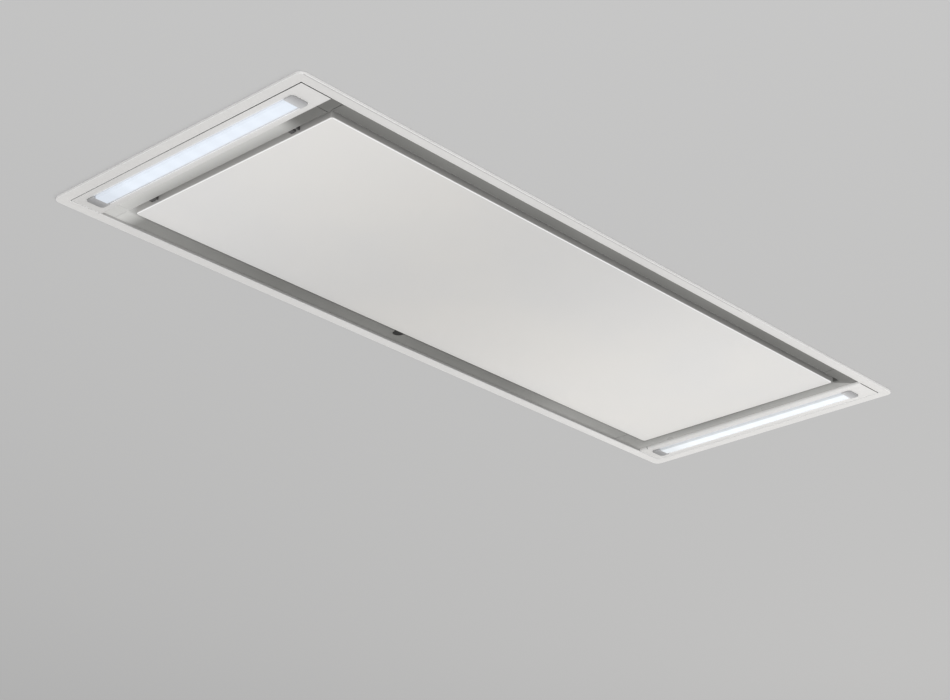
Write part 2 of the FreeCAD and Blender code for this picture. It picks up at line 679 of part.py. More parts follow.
def make_light_plate():
    low = "-FlangeThick"
    top = "(-FlangeThick + PlateThick)"
    outer = f"(-{RIM_X} + PlateGap)"
    inner = f"(-{LIGHT_X})"
    wide = f"({RIM_Y} - PlateGap)"
    fold = prism("plate_fold", "y", f"-{wide}", wide, ("path", [
        (f"{inner} - PlateBend", low),
        (inner, f"{low} + PlateBend", f"{inner} - PlateBend", f"{low} + PlateBend", 1),
        (inner, "PlateLip"),
        (f"{inner} - PlateThick", "PlateLip"),
        (f"{inner} - PlateThick", f"{low} + PlateBend"),
        (f"{inner} - PlateBend", top, f"{inner} - PlateBend", f"{low} + PlateBend", -1),
        (outer, top),
        (outer, low),
    ]))
    slot = prism("plate_slot", "z", f"{low} - 1", f"{top} + 1", slot_loop(0, "LightRadius"))
    pair_by_x("light_plate", cut("light_plate_left", fold, slot))


def make_light_profile():
    low = "(-FlangeThick + 0.4)"
    side = "(LightWidth / 2 - Play)"
    inside = "(DiffuserWidth / 2)"
    front = f"{SLOT_FRONT} + CapLength"
    back = f"{SLOT_BACK} - CapLength"
    channel = prism("profile_section", "y", front, back, ("path", [
        (f"{LIGHT_MID} + {side}", low),
        (f"{LIGHT_MID} + {side}", "ProfileTop"),
        (f"{LIGHT_MID} - {side}", "ProfileTop"),
        (f"{LIGHT_MID} - {side}", low),
        (f"{LIGHT_MID} - {inside}", low),
        (f"{LIGHT_MID} - {inside}", "ProfileTop - ProfileBase"),
        (f"{LIGHT_MID} + {inside}", "ProfileTop - ProfileBase"),
        (f"{LIGHT_MID} + {inside}", low),
    ]))
    pair_by_x("light_profile", channel)
    right = f"({LIGHT_MID} + {inside} - Play)"
    left = f"({LIGHT_MID} - {inside} + Play)"
    face = "(-FlangeThick - DiffuserProud)"
    shoulder = f"({face} + DiffuserProud)"
    diffuser = prism("diffuser_section", "y", f"{front} + Play", f"{back} - Play", ("path", [
        (f"{right} - DiffuserProud", face),
        (right, shoulder, f"{right} - DiffuserProud", shoulder, 1),
        (right, f"{face} + DiffuserThick"),
        (left, f"{face} + DiffuserThick"),
        (left, shoulder),
        (f"{left} + DiffuserProud", face, f"{left} + DiffuserProud", shoulder, 1),
    ]))
    pair_by_x("light_diffuser", diffuser)
    caps = []
    for name, start, stop in (("front", f"{SLOT_FRONT} + Play", f"{front} - Play"),
                              ("back", f"{back} + Play", f"{SLOT_BACK} - Play")):
        whole = prism(f"cap_whole_{name}", "z", "-FlangeThick - CapProud", "ProfileTop",
                      slot_loop("Play", "LightRadius - Play"))
        slab = block(f"cap_slab_{name}", (f"{LIGHT_MID} - LightWidth", f"{LIGHT_MID} + LightWidth"),
                     (start, stop), ("-FlangeThick - CapProud - 1", "ProfileTop + 1"))
        common = doc.addObject("Part::Common", f"cap_{name}")
        common.Base = whole
        common.Tool = slab
        caps.append(common)
    pair_by_x("light_caps", group("light_caps_left", *caps))


def make_light_board():
    under = "(ProfileTop - ProfileBase - BoardThick)"
    board = block("board_sheet", (f"{LIGHT_MID} - BoardWidth / 2", f"{LIGHT_MID} + BoardWidth / 2"),
                  (f"{SLOT_FRONT} + CapLength + 4", f"{SLOT_BACK} - CapLength - 4"),
                  (under, "ProfileTop - ProfileBase"))
    chips = [block(f"chip_{place}", (f"{LIGHT_MID} - ChipSize / 2", f"{LIGHT_MID} + ChipSize / 2"),
                   (f"LightShift + {20 * place} - ChipSize / 2",
                    f"LightShift + {20 * place} + ChipSize / 2"), (f"{under} - 0.8", under))
             for place in range(-5, 6)]
    pair_by_x("led_board", fuse("led_board_left", board, *chips))


def make_light_housing():
    near = f"(-{LIGHT_X} - PlateBend - Play)"
    far = f"(-{RIM_X} + PlateGap)"
    deep = f"({RIM_Y} - PlateGap - 1)"
    low = "(-FlangeThick + PlateThick)"
    outer = block("housing_outer", (far, near), (f"-{deep}", deep), (low, "HousingTop"))
    inner = block("housing_inner", (f"{far} + SheetThick", f"{near} - SheetThick"),
                  (f"-{deep} + SheetThick", f"{deep} - SheetThick"),
                  (f"{low} - 1", "HousingTop - SheetThick"))
    bridge = block("housing_bridge", (f"{near} - 2", f"-{CASE_X}"), (-120, 120),
                   ("HousingTop - SheetThick", "HousingTop"))
    tab = block("housing_tab", (f"-{CASE_X} - SheetThick", f"-{CASE_X}"), (-120, 120),
                ("HousingTop - SheetThick", "HousingTop + TabHeight"))
    wire_hole = rod("housing_wire_hole", "z", (f"{LIGHT_MID}", 120, "HousingTop - 4"), 4, 8)
    shell = cut("housing_shell", outer, inner, wire_hole)
    holes = drills("housing", "x", [(f"-{CASE_X}", y, HOUSING_Z) for y in HOUSING_Y])
    pair_by_x("light_housing", cut("light_housing_left", fuse("housing_joined", shell, bridge, tab),
                                   *holes))
    left = [screw(f"housing_screw_{place}", "x", -1, (f"-{CASE_X} - SheetThick", y, HOUSING_Z), 5)
            for place, y in enumerate(HOUSING_Y)]
    right = [mirrored(f"housing_screw_r{place}", item, ACROSS_X) for place, item in enumerate(left)]
    casing_screws.extend([*left, *right])


HOUSING_Y = (-90, 90)
HOUSING_Z = "(HousingTop + TabHeight / 2 + 1)"


# ---------------------------------------------------------------- casing

BOX_X = (-160, 160)
BOX_END_Y = (-90, 90)
BLOWER_Y = (-10, 30)
SPIGOT_SPOTS = [(x, y) for x in (-82, 82) for y in (-82, 82)]


def box_seats():
    """Screws round the motor box's flange: along both long sides and both ends."""
    long_rows = [(x, f"{sign} * (BoxHalfY + BoxFlange / 2 - 1)") for x in BOX_X for sign in (-1, 1)]
    end_rows = [(f"{sign} * (BoxHalfX + BoxFlange / 2)", y) for y in BOX_END_Y for sign in (-1, 1)]
    return long_rows + end_rows


def make_lower_casing():
    low = f"({FACE} + SheetThick + Play)"
    outer = prism("casing_outer", "z", low, "CasingTop",
                  ("rounded", f"-{CASE_X}", CASE_X, f"-{CASE_Y}", CASE_Y, "CasingRadius"))
    inner = prism("casing_inner", "z", f"{low} - 1", "CasingTop - SheetThick",
                  ("rounded", f"-{CASE_X} + SheetThick", f"{CASE_X} - SheetThick",
                   f"-{CASE_Y} + SheetThick", f"{CASE_Y} - SheetThick",
                   "CasingRadius - SheetThick"))
    mouth = prism("casing_mouth", "z", "CasingTop - 5", "CasingTop + 5",
                  ("rounded", -178, 178, -122, 122, "CasingRadius"))
    trim = drills("case_trim", "y", [(x, f"{sign} * {CASE_Y}", TRIM_Z) for x, sign in TRIM_SPOTS], 6)
    clamps = drills("case_clamp", "y", clamp_spots(CASE_Y), 6)
    top = drills("case_box", "z", [(x, y, "CasingTop") for x, y in box_seats()])
    ends = drills("case_end", "x", [(f"{sign} * {CASE_X}", y, HOUSING_Z)
                                    for sign in (-1, 1) for y in HOUSING_Y], 6)
    wires = [rod(f"case_wire_{place}", "z", (x, y, "CasingTop - 5"), 7, 10)
             for place, (x, y) in enumerate(((250, 60), (-295, 0)))]
    part("lower_casing", cut("lower_casing", outer, inner, mouth, *trim, *clamps, *top, *ends,
                             *wires))


def make_motor_box():
    outer = prism("box_outer", "z", "CasingTop", "BoxTop",
                  ("rounded", "-BoxHalfX", "BoxHalfX", "-BoxHalfY", "BoxHalfY", "CasingRadius"))
    inner = prism("box_inner", "z", "CasingTop - 1", "BoxTop - SheetThick",
                  ("rounded", "-BoxHalfX + SheetThick", "BoxHalfX - SheetThick",
                   "-BoxHalfY + SheetThick", "BoxHalfY - SheetThick",
                   "CasingRadius - SheetThick"))
    foot = block("box_foot", ("-BoxHalfX - BoxFlange", "BoxHalfX + BoxFlange"),
                 ("-BoxHalfY - BoxFlange + 2", "BoxHalfY + BoxFlange - 2"),
                 ("CasingTop", "CasingTop + SheetThick"))
    neck = block("box_neck", ("-ScrollHalfX - 1", "ScrollHalfX + 1"),
                 ("OutletY - NeckWidth / 2 - ScrollWall - 1", "OutletY + NeckWidth / 2 + ScrollWall + 1"),
                 ("BoxTop - 5", "BoxTop + 5"))
    foot_holes = drills("box", "z", [(x, y, "CasingTop") for x, y in box_seats()])
    top_holes = drills("box_top", "z", [(x, f"OutletY + {y}", "BoxTop") for x, y in SPIGOT_SPOTS])
    hanger_holes = drills("box_hanger", "z", hanger_spots("BoxTop"))
    clip_holes = drills("box_clip", "x", [("-BoxHalfX", y, CAPACITOR_Z) for y in CLIP_Y], 5)
    part("motor_box", cut("motor_box", outer, inner, neck, *top_holes, *hanger_holes, *clip_holes))
    part("box_flange", cut("box_flange", foot, outer, *foot_holes))
    casing_screws.extend(screws("box_screw", "z", 1,
                                [(x, y, "CasingTop + SheetThick") for x, y in box_seats()], 6))


def clamp_spots(at_y):
    return [(f"{side} * ClampX + {offset}", f"{sign} * {at_y}", CLAMP_Z)
            for side in (-1, 1) for sign in (-1, 1) for offset in (-CLAMP_SIDE, CLAMP_SIDE)]


def make_clamps():
    foot_low = "CabinetBoard"
    wall = block("clamp_wall", ("-ClampX - ClampWidth / 2", "-ClampX + ClampWidth / 2"),
                 (CASE_Y, f"{CASE_Y} + ClampThick"), (foot_low, "ClampTop"))
    foot = block("clamp_foot", ("-ClampX - ClampWidth / 2", "-ClampX + ClampWidth / 2"),
                 (CASE_Y, f"{CASE_Y} + ClampReach"), (foot_low, f"{foot_low} + ClampThick"))
    hole = rod("clamp_wood_hole", "z", ("-ClampX", "WoodHoleY", f"{foot_low} - 5"),
               "WoodHoleRadius", 10)
    side_holes = drills("clamp", "y", [(f"-ClampX + {offset}", CASE_Y, CLAMP_Z)
                                       for offset in (-CLAMP_SIDE, CLAMP_SIDE)])
    back_left = cut("clamp_back_left", fuse("clamp_joined", wall, foot), hole, *side_holes)
    back_right = mirrored("clamp_back_right", back_left, ACROSS_X)
    front_left = mirrored("clamp_front_left", back_left, ACROSS_Y)
    front_right = mirrored("clamp_front_right", back_right, ACROSS_Y)
    part("clamp_brackets", group("clamp_brackets", back_left, back_right, front_left, front_right))
    bolts = [screw(f"clamp_bolt_{place}", "y", 1 if "-1 *" not in y else -1, (x, y, z), 6)
             for place, (x, y, z) in enumerate(clamp_spots(f"({CASE_Y} + ClampThick)"))]
    casing_screws.extend(bolts)


# ---------------------------------------------------------------- filters

def make_filter_tray():
    half_x = f"({CASE_X} - SheetThick - Play)"
    half_y = f"({CASE_Y} - SheetThick - Play)"
    outer = prism("tray_outer", "z", "TrayLow", "TrayLow + TrayWall",
                  ("rounded", f"-{half_x}", half_x, f"-{half_y}", half_y,
                   "CasingRadius - SheetThick"))
    inner = prism("tray_inner", "z", TRAY_TOP, "TrayLow + TrayWall + 1",
                  ("rounded", f"-{half_x} + SheetThick", f"{half_x} - SheetThick",
                   f"-{half_y} + SheetThick", f"{half_y} - SheetThick",
                   "CasingRadius - 2 * SheetThick"))
    windows = [block(f"tray_window_{place}", ends, ("-WindowHalfY", "WindowHalfY"),
                     ("TrayLow - 1", "TrayLow + 5"))
               for place, ends in enumerate((("-WindowFar", "-WindowNear"),
                                             ("WindowNear", "WindowFar")))]
    heads = [block(f"tray_relief_{side + 1}_{place}",
                   sorted((f"{side} * {half_x} - 4", f"{side} * {half_x} + 4"), key=number),
                   (f"{y} - 6", f"{y} + 6"), (f"{HOUSING_Z} - 6", "TrayLow + TrayWall + 1"))
             for side in (-1, 1) for place, y in enumerate(HOUSING_Y)]
    bolts = [block(f"tray_bolt_relief_{place}", (f"({x}) - 6", f"({x}) + 6"),
                   sorted((f"({y}) - 4", f"({y}) + 4"), key=number),
                   (CLAMP_Z - 4, "TrayLow + TrayWall + 1"))
             for place, (x, y, z) in enumerate(clamp_spots(half_y))]
    part("filter_tray", cut("filter_tray", outer, inner, *windows, *heads, *bolts))


PAD_HALF_X = "(LatchHalfX + 6)"
POCKET_BACK = "-85.6"


def pleat_points(start, stop, low, high):
    """Zigzag section in (x, z): along the underside and back over the top."""
    count = int(number("PleatCount"))
    under = [(f"{start} + {place} * ({stop} - {start}) / {count}",
              low if place % 2 == 0 else f"{high} - PleatThick") for place in range(count + 1)]
    over = [(x, f"{z} + PleatThick") for x, z in reversed(under)]
    return under + over


def make_filters():
    near = "(-WindowNear - FilterPlay)"
    far = "(-WindowFar + FilterPlay)"
    middle = f"(({near} + {far}) / 2)"
    rim = "FilterRim"
    ring = prism("filter_ring", "z", "FilterLow", FILTER_TOP,
                 ("rect", far, near, "FilterFront", "FilterBack"),
                 ("rect", f"{far} + {rim}", f"{near} - {rim}",
                  f"FilterFront + {rim}", f"FilterBack - {rim}"))
    groove = prism("filter_groove", "z", "FilterLow + FilterSheet", f"{FILTER_TOP} - FilterSheet",
                   ("rect", f"{far} + FilterSheet", f"{near} - FilterSheet",
                    "FilterFront + FilterSheet", "FilterBack - FilterSheet"))
    pad = block("latch_pad", (f"{middle} - {PAD_HALF_X}", f"{middle} + {PAD_HALF_X}"),
                ("FilterFront", f"{POCKET_BACK} - 1"), ("FilterLow", FILTER_TOP))
    pocket = block("latch_pocket", (f"{middle} - LatchHalfX - 0.3", f"{middle} + LatchHalfX + 0.3"),
                   ("FilterFront - 1", POCKET_BACK), ("FilterLow - 1", "FilterLow + 3.1"))
    frame = cut("filter_frame_left", fuse("filter_rimmed", cut("filter_channel", ring, groove), pad),
                pocket)
    pair_by_x("filter_frame", frame)

    inset = "(FilterSheet + Play)"
    pleats = prism("mesh_pleats", "y", f"FilterFront + {inset}", f"FilterBack - {inset}",
                   ("path", pleat_points(f"({far} + {inset})", f"({near} - {inset})",
                                         f"(FilterLow + {inset})", f"({FILTER_TOP} - {inset})")))
    clear = block("mesh_pad_notch", (f"{middle} - {PAD_HALF_X} - Play",
                                     f"{middle} + {PAD_HALF_X} + Play"),
                  ("FilterFront - 1", f"{POCKET_BACK} + Play"), ("FilterLow - 1", f"{FILTER_TOP} + 1"))
    pair_by_x("filter_mesh", cut("filter_mesh_left", pleats, clear))

    plate = block("latch_plate", (f"{middle} - LatchHalfX", f"{middle} + LatchHalfX"),
                  ("FilterFront + 1", f"{POCKET_BACK} - LatchTravel - 0.4"),
                  ("FilterLow + 0.3", "FilterLow + 2.9"))
    tongue = block("latch_tongue", (f"{middle} - 10", f"{middle} + 10"),
                   ("FilterFront - 5", "FilterFront + 2"), ("FilterLow + 0.3", "FilterLow + 2.9"))
    grip = block("latch_grip", (f"{middle} - 22", f"{middle} + 22"),
                 ("FilterFront + 20", "FilterFront + 23"), ("FilterLow - 6", "FilterLow + 1"))
    pair_by_x("filter_latch", fuse("filter_latch_left", plate, tongue, grip))


# ---------------------------------------------------------------- blower

def scroll_path(grow):
    """The scroll's section in (y, z): three quarter arcs about the corners of a small square,
    and a straight neck up to the outlet.  grow is the wall, added all round."""
    half = "ScrollStep / 2"
    first = f"(ScrollStart + {grow})"
    second = f"(ScrollStart + ScrollStep + {grow})"
    third = f"(ScrollStart + 2 * ScrollStep + {grow})"
    front = f"(FanY - {half} - {third})"
    tongue = f"(FanY - {half} - ScrollStart - 2 * ScrollStep + NeckWidth + {grow})"
    return ("path", [
        (tongue, f"FanZ - {half} + {first}"),
        (tongue, "BoxTop"),
        (front, "BoxTop"),
        (front, f"FanZ + {half}"),
        (f"FanY - {half}", f"FanZ + {half} - {third}", f"FanY - {half}", f"FanZ + {half}", 1),
        (f"FanY - {half} + {second}", f"FanZ - {half}", f"FanY - {half}", f"FanZ - {half}", 1),
        (f"FanY + {half}", f"FanZ - {half} + {first}", f"FanY + {half}", f"FanZ - {half}", 1),
    ])


def make_scroll():
    outer = prism("scroll_outer", "x", "-ScrollHalfX", "-SeamGap / 2", scroll_path("ScrollWall"))
    inner = prism("scroll_inner", "x", "-ScrollHalfX + ScrollWall", "SeamGap", scroll_path("0"))
    inlet = rod("scroll_inlet", "x", ("-ScrollHalfX - 5", "FanY", "FanZ"), "InletRadius", 10)
    neck = block("scroll_neck_mouth", ("-ScrollHalfX + ScrollWall", 5),
                 ("OutletY - NeckWidth / 2", "OutletY + NeckWidth / 2"), ("BoxTop - 2", "BoxTop + 2"))
    arm_holes = drills("scroll_arm", "x", [("-ScrollHalfX", y, z) for y, z in arm_spots()], 6)
    hanger = drills("scroll_hanger", "x", [("-ScrollHalfX", y, HANGER_Z) for y in BLOWER_Y], 6)
    pair_by_x("scroll", cut("scroll_left", outer, inner, inlet, neck, *arm_holes, *hanger))


HANGER_Z = 240


def hanger_spots(z):
    return [(f"{side} * (ScrollHalfX + 36)", y, z) for side in (-1, 1) for y in BLOWER_Y]


def make_hangers():
    high = "(BoxTop - SheetThick)"
    wall = block("hanger_wall", ("-ScrollHalfX - ScrollWall", "-ScrollHalfX"), (-20, 40),
                 (220, high))
    shelf = block("hanger_shelf", ("-ScrollHalfX - 46", "-ScrollHalfX"), (-20, 40),
                  (f"{high} - ScrollWall", high))
    holes = drills("hanger", "x", [("-ScrollHalfX", y, HANGER_Z) for y in BLOWER_Y])
    top = drills("hanger_top", "z", [("-ScrollHalfX - 36", y, "BoxTop") for y in BLOWER_Y])
    left = cut("hanger_left", fuse("hanger_joined", wall, shelf), *holes, *top)
    part("blower_brackets", group("blower_brackets", left, mirrored("hanger_right", left, ACROSS_X)))
    side = [screw(f"hanger_side_{place}", "x", -1, ("-ScrollHalfX - ScrollWall", y, HANGER_Z), 4)
            for place, y in enumerate(BLOWER_Y)]
    side += [mirrored(f"hanger_side_r{place}", item, ACROSS_X) for place, item in enumerate(side)]
    above = [screw(f"hanger_above_{place}", "z", 1, (x, y, z), 5)
             for place, (x, y, z) in enumerate(hanger_spots("BoxTop"))]
    blower_screws.extend([*side, *above])


def arm_spots():
    reach = 64
    return [(f"FanY + {reach}", "FanZ"), (f"FanY - {reach}", "FanZ"), ("FanY", f"FanZ - {reach}")]


def make_motor():
    outside = "(-ScrollHalfX)"
    disc = rod("bracket_disc", "x", (f"{outside} - ScrollWall", "FanY", "FanZ"), 30, "ScrollWall")
    across = block("bracket_across", (f"{outside} - ScrollWall", outside), ("FanY - 70", "FanY + 70"),
                   ("FanZ - ArmWidth / 2", "FanZ + ArmWidth / 2"))
    down = block("bracket_down", (f"{outside} - ScrollWall", outside),
                 ("FanY - ArmWidth / 2", "FanY + ArmWidth / 2"), ("FanZ - 70", "FanZ"))
    holes = drills("bracket", "x", [(outside, y, z) for y, z in arm_spots()])
    centre = rod("bracket_bore", "x", (f"{outside} - 5", "FanY", "FanZ"), 12, 10)
    part("motor_bracket", cut("motor_bracket", fuse("bracket_joined", disc, across, down),
                              centre, *holes))
    can = rod("motor_can", "x", (outside, "FanY", "FanZ"), "MotorRadius", f"MotorEnd - {outside}")
    cap = rod("motor_cap", "x", (f"{outside} - 8", "FanY", "FanZ"), "11.9", 10)
    bore = rod("motor_bore", "x", (f"{outside} + 20", "FanY", "FanZ"), "ShaftRadius + PinPlay", 60)
    part("motor", cut("motor", fuse("motor_joined", can, cap), bore))
    blower_screws.extend(screws("motor_screw", "x", -1,
                                [(f"{outside} - ScrollWall", y, z) for y, z in arm_spots()], 4))


def make_impeller():
    """Middle disc, blades through it, and an end ring each side, all one moulding."""
    body = doc.addObject("PartDesign::Body", "impeller")
    disc = sketch_in(body, "x", "-FanRing / 2")
    Outline(disc).circle("0", "0", "FanRadius")
    Outline(disc).circle("0", "0", "ShaftRadius")
    pad_in(body, disc, "FanRing")
    hub = sketch_in(body, "x", "-HubHalfX")
    Outline(hub).circle("0", "0", "HubRadius")
    Outline(hub).circle("0", "0", "ShaftRadius")
    pad_in(body, hub, "2 * HubHalfX")
    blade = sketch_in(body, "x", "-FanHalfX")
    outside = "(BladeBend + BladeThick / 2)"
    inside = "(BladeBend - BladeThick / 2)"
    turn = "(BladeTurn * 1 deg)"
    Outline(blade).path([
        ("BladeStart", f"-{outside} + BladeBend"),
        (f"BladeStart + {outside} * cos{turn}", f"BladeBend - {outside} * sin{turn}",
         "BladeStart", "BladeBend", 1),
        (f"BladeStart + {inside} * cos{turn}", f"BladeBend - {inside} * sin{turn}"),
        ("BladeStart", f"-{inside} + BladeBend", "BladeStart", "BladeBend", -1),
    ])
    blade_pad = pad_in(body, blade, "2 * FanHalfX")
    doc.recompute()
    pattern = body.newObject("PartDesign::PolarPattern", "blade_ring")
    pattern.Originals = [blade_pad]
    axis = [item for item in body.Origin.OriginFeatures if item.Role == "X_Axis"][0]
    pattern.Axis = (axis, [""])
    pattern.Angle = 360
    pattern.setExpression("Occurrences", bind("BladeCount"))
    body.Tip = pattern
    for low in ("-FanHalfX", "FanHalfX - FanRing"):
        ring = sketch_in(body, "x", low)
        Outline(ring).circle("0", "0", "FanRadius")
        Outline(ring).circle("0", "0", "FanRadius - FanRingWidth")
        pad_in(body, ring, "FanRing")
    placed(body, "0", "FanY", "FanZ")
    part("impeller", body)

    part("fan_shaft", rod("fan_shaft", "x", ("MotorEnd - 24", "FanY", "FanZ"), "ShaftRadius",
                          "HubHalfX + 12 - MotorEnd + 24"))
    nut = prism("nut_outer", "x", "HubHalfX", "HubHalfX + 6", ("path", nut_corners("6.5")),
                ("circle", "FanY", "FanZ", "ShaftRadius + Play / 4"))
    part("shaft_nut", nut)


def nut_corners(radius):
    """Six corners round the fan axis, in (y, z)."""
    return [(f"FanY + {radius} * cos({60 * step} deg)", f"FanZ + {radius} * sin({60 * step} deg)")
            for step in range(6)]


CAPACITOR_X = "(-BoxHalfX + SheetThick + 1.5 + CapRadius)"
CAPACITOR_Z = 180
CLIP_Y = (-90, -40)


def make_capacitor():
    can = rod("capacitor_can", "z", (CAPACITOR_X, -65, f"{CAPACITOR_Z} - CapHeight / 2"),
              "CapRadius", "CapHeight")
    posts = [rod(f"capacitor_post_{place}", "z", (f"{CAPACITOR_X} + {dx}", -65,
                                                  f"{CAPACITOR_Z} + CapHeight / 2"), 1.6, 6)
             for place, dx in enumerate((-6, 6))]
    part("capacitor", fuse("capacitor", can, *posts))
    back = block("clip_back", ("-BoxHalfX + SheetThick", "-BoxHalfX + SheetThick + 1.5"), (-98, -32),
                 (f"{CAPACITOR_Z} - 10", f"{CAPACITOR_Z} + 10"))
    band = rod("clip_band", "z", (CAPACITOR_X, -65, f"{CAPACITOR_Z} - 10"), "CapRadius + 1.5", 20)
    bore = rod("clip_bore", "z", (CAPACITOR_X, -65, f"{CAPACITOR_Z} - 12"), "CapRadius + 0.05", 24)
    trim = block("clip_trim", (f"-BoxHalfX - 5", "-BoxHalfX + SheetThick"), (-110, -20),
                 (f"{CAPACITOR_Z} - 12", f"{CAPACITOR_Z} + 12"))
    holes = drills("cap_clip", "x", [("-BoxHalfX", y, CAPACITOR_Z) for y in CLIP_Y])
    part("capacitor_clip", cut("capacitor_clip", fuse("clip_joined", back, band), bore, trim, *holes))
    blower_screws.extend(screws("clip_screw", "x", -1,
                                [("-BoxHalfX", y, CAPACITOR_Z) for y in CLIP_Y], 4))


# ---------------------------------------------------------------- outlet

def make_outlet():
    base_top = "(BoxTop + OutletPlateThick)"
    tube = prism("collar_tube", "z", "BoxTop", "OutletTop",
                 ("circle", "0", "OutletY", "OutletRadius"),
                 ("circle", "0", "OutletY", "OutletRadius - OutletWall"))
    plate = prism("collar_plate", "z", "BoxTop", base_top,
                  ("rounded", "-OutletPlate", "OutletPlate", "OutletY - OutletPlate",
                   "OutletY + OutletPlate", "6"),
                  ("circle", "0", "OutletY", "OutletRadius - OutletWall"))
    ledge_top = "(FlapZ - FlapRod - Play)"
    ledge = prism("collar_ledge", "z", f"{ledge_top} - LedgeHeight", ledge_top,
                  ("circle", "0", "OutletY", "OutletRadius - OutletWall / 2"),
                  ("circle", "0", "OutletY", "OutletRadius - OutletWall - LedgeWidth"))
    rods = [rod(f"collar_rod_hole_{sign + 1}", "x", (-80, f"OutletY + {sign} * FlapOffset", "FlapZ"),
                "FlapRod + ScrewPlay / 2", 160) for sign in (-1, 1)]
    holes = drills("collar", "z", [(x, f"OutletY + {y}", "BoxTop") for x, y in SPIGOT_SPOTS])
    part("outlet_spigot", cut("outlet_spigot", fuse("collar_joined", tube, plate, ledge),
                              *rods, *holes))
    casing_screws.extend(screws("spigot_screw", "z", 1,
                                [(x, f"OutletY + {y}", base_top) for x, y in SPIGOT_SPOTS], 6))

    plate_low = "FlapZ - FlapThick / 2"
    half = prism("flap_half", "z", plate_low, "FlapZ + FlapThick / 2", ("path", [
        ("66", "OutletY + FlapOffset"),
        ("66", "OutletY + FlapOffset + 6"),
        ("FlapRadius * cos(12 deg)", "OutletY + FlapRadius * sin(12 deg)"),
        ("-FlapRadius * cos(12 deg)", "OutletY + FlapRadius * sin(12 deg)", "0", "OutletY", 1),
        ("-66", "OutletY + FlapOffset + 6"),
        ("-66", "OutletY + FlapOffset"),
    ]))
    barrel = rod("flap_barrel", "x", (-66, "OutletY + FlapOffset", "FlapZ"), "FlapBarrel", 132)
    ribs = [block(f"flap_rib_{place}", (f"{x} - 1", f"{x} + 1"),
                  ("OutletY + FlapOffset + 1", "OutletY + 52"), ("FlapZ", "FlapZ + 3"))
            for place, x in enumerate((-36, 0, 36))]
    bore = rod("flap_bore", "x", (-80, "OutletY + FlapOffset", "FlapZ"), "FlapRod + PinPlay", 160)
    back = part("outlet_flap_back", cut("outlet_flap_back", fuse("flap_joined", half, barrel, *ribs),
                                        bore))
    front = doc.addObject("Part::Mirroring", "outlet_flap_front")
    front.Source = back
    front.setExpression("Base.y", bind("OutletY"))
    front.Normal = ACROSS_Y
    part("outlet_flap_front", front)
    part("flap_rods", group("flap_rods", *[
        rod(f"flap_rod_{sign + 1}", "x", ("-OutletRadius + 0.5", f"OutletY + {sign} * FlapOffset",
                                          "FlapZ"), "FlapRod", "2 * OutletRadius - 1")
        for sign in (-1, 1)]))


# ---------------------------------------------------------------- electrics

def make_control_box():
    far = "(ControlX + ControlLength)"
    top = "(CasingTop + ControlHeight)"
    outer = prism("control_outer", "z", "CasingTop", top,
                  ("rounded", "ControlX", far, "-ControlHalfY", "ControlHalfY", "4"))
    inner = prism("control_inner", "z", "CasingTop + ControlWall", f"{top} + 1",
                  ("rounded", "ControlX + ControlWall", f"{far} - ControlWall",
                   "-ControlHalfY + ControlWall", "ControlHalfY - ControlWall", "2"))
    posts = [rod(f"control_post_{place}", "z", (x, y, "CasingTop + 1"), 5, "ControlHeight - 1")
             for place, (x, y) in enumerate(lid_spots())]
    holes = drills("control", "z", [(x, y, top) for x, y in lid_spots()], 12)
    gland_hole = rod("control_gland_hole", "y", ("GlandX", "ControlHalfY - 5", GLAND_Z),
                     "GlandBody + ScrewPlay", 10)
    wire_hole = rod("control_wire_hole", "z", (250, 60, "CasingTop - 5"), 6, 12)
    part("control_box", cut("control_box", fuse("control_joined", cut("control_shell", outer, inner),
                                                *posts), *holes, gland_hole, wire_hole))
    lid = prism("lid_sheet", "z", top, f"{top} + LidHeight",
                ("rounded", "ControlX", far, "-ControlHalfY", "ControlHalfY", "4"))
    lid_holes = drills("lid", "z", [(x, y, top) for x, y in lid_spots()], 12)
    part("control_box_lid", cut("control_box_lid", lid, *lid_holes))
    lid_screws = screws("lid_screw", "z", 1, [(x, y, f"{top} + LidHeight") for x, y in lid_spots()],
                        12)
    part("lid_screws", group("lid_screws", *lid_screws))

    low = "(CasingTop + ControlWall + 6)"
    board = block("board_plate", ("ControlX + 12", f"{far} - 12"), (-60, 30), (low, f"{low} + 1.6"))
    tall = [block(f"board_item_{place}", (x0, x1), (y0, y1), (f"{low} + 1", f"{low} + {height}"))
            for place, (x0, x1, y0, y1, height) in enumerate(
                ((240, 262, -48, -22, 20), (275, 293, -48, -30, 17), (300, 320, -45, -15, 24),
                 (240, 270, 0, 16, 12), (285, 310, 0, 14, 14)))]
    stands = [rod(f"board_stand_{place}", "z", (x, y, "CasingTop + ControlWall"), 3, "6.5")
              for place, (x, y) in enumerate(((240, -52), (325, -52), (240, 24), (325, 24)))]
    part("control_board", fuse("control_board", board, *tall, *stands))

    terminal = block("terminal_body", (270, 330), (44, 66), ("CasingTop + ControlWall",
                                                             "CasingTop + ControlWall + 16"))
    wells = [rod(f"terminal_well_{place}", "z", (280 + 10 * place, 55,
                                                 "CasingTop + ControlWall + 8"), 3, 12)
             for place in range(5)]
    part("terminal_block", cut("terminal_block", terminal, *wells))


GLAND_Z = "(CasingTop + ControlHeight / 2 + 4)"


def lid_spots():
    near = "(ControlX + 9)"
    far = "(ControlX + ControlLength - 9)"
    return [(x, f"{sign} * (ControlHalfY - 9)") for x in (near, far) for sign in (-1, 1)]


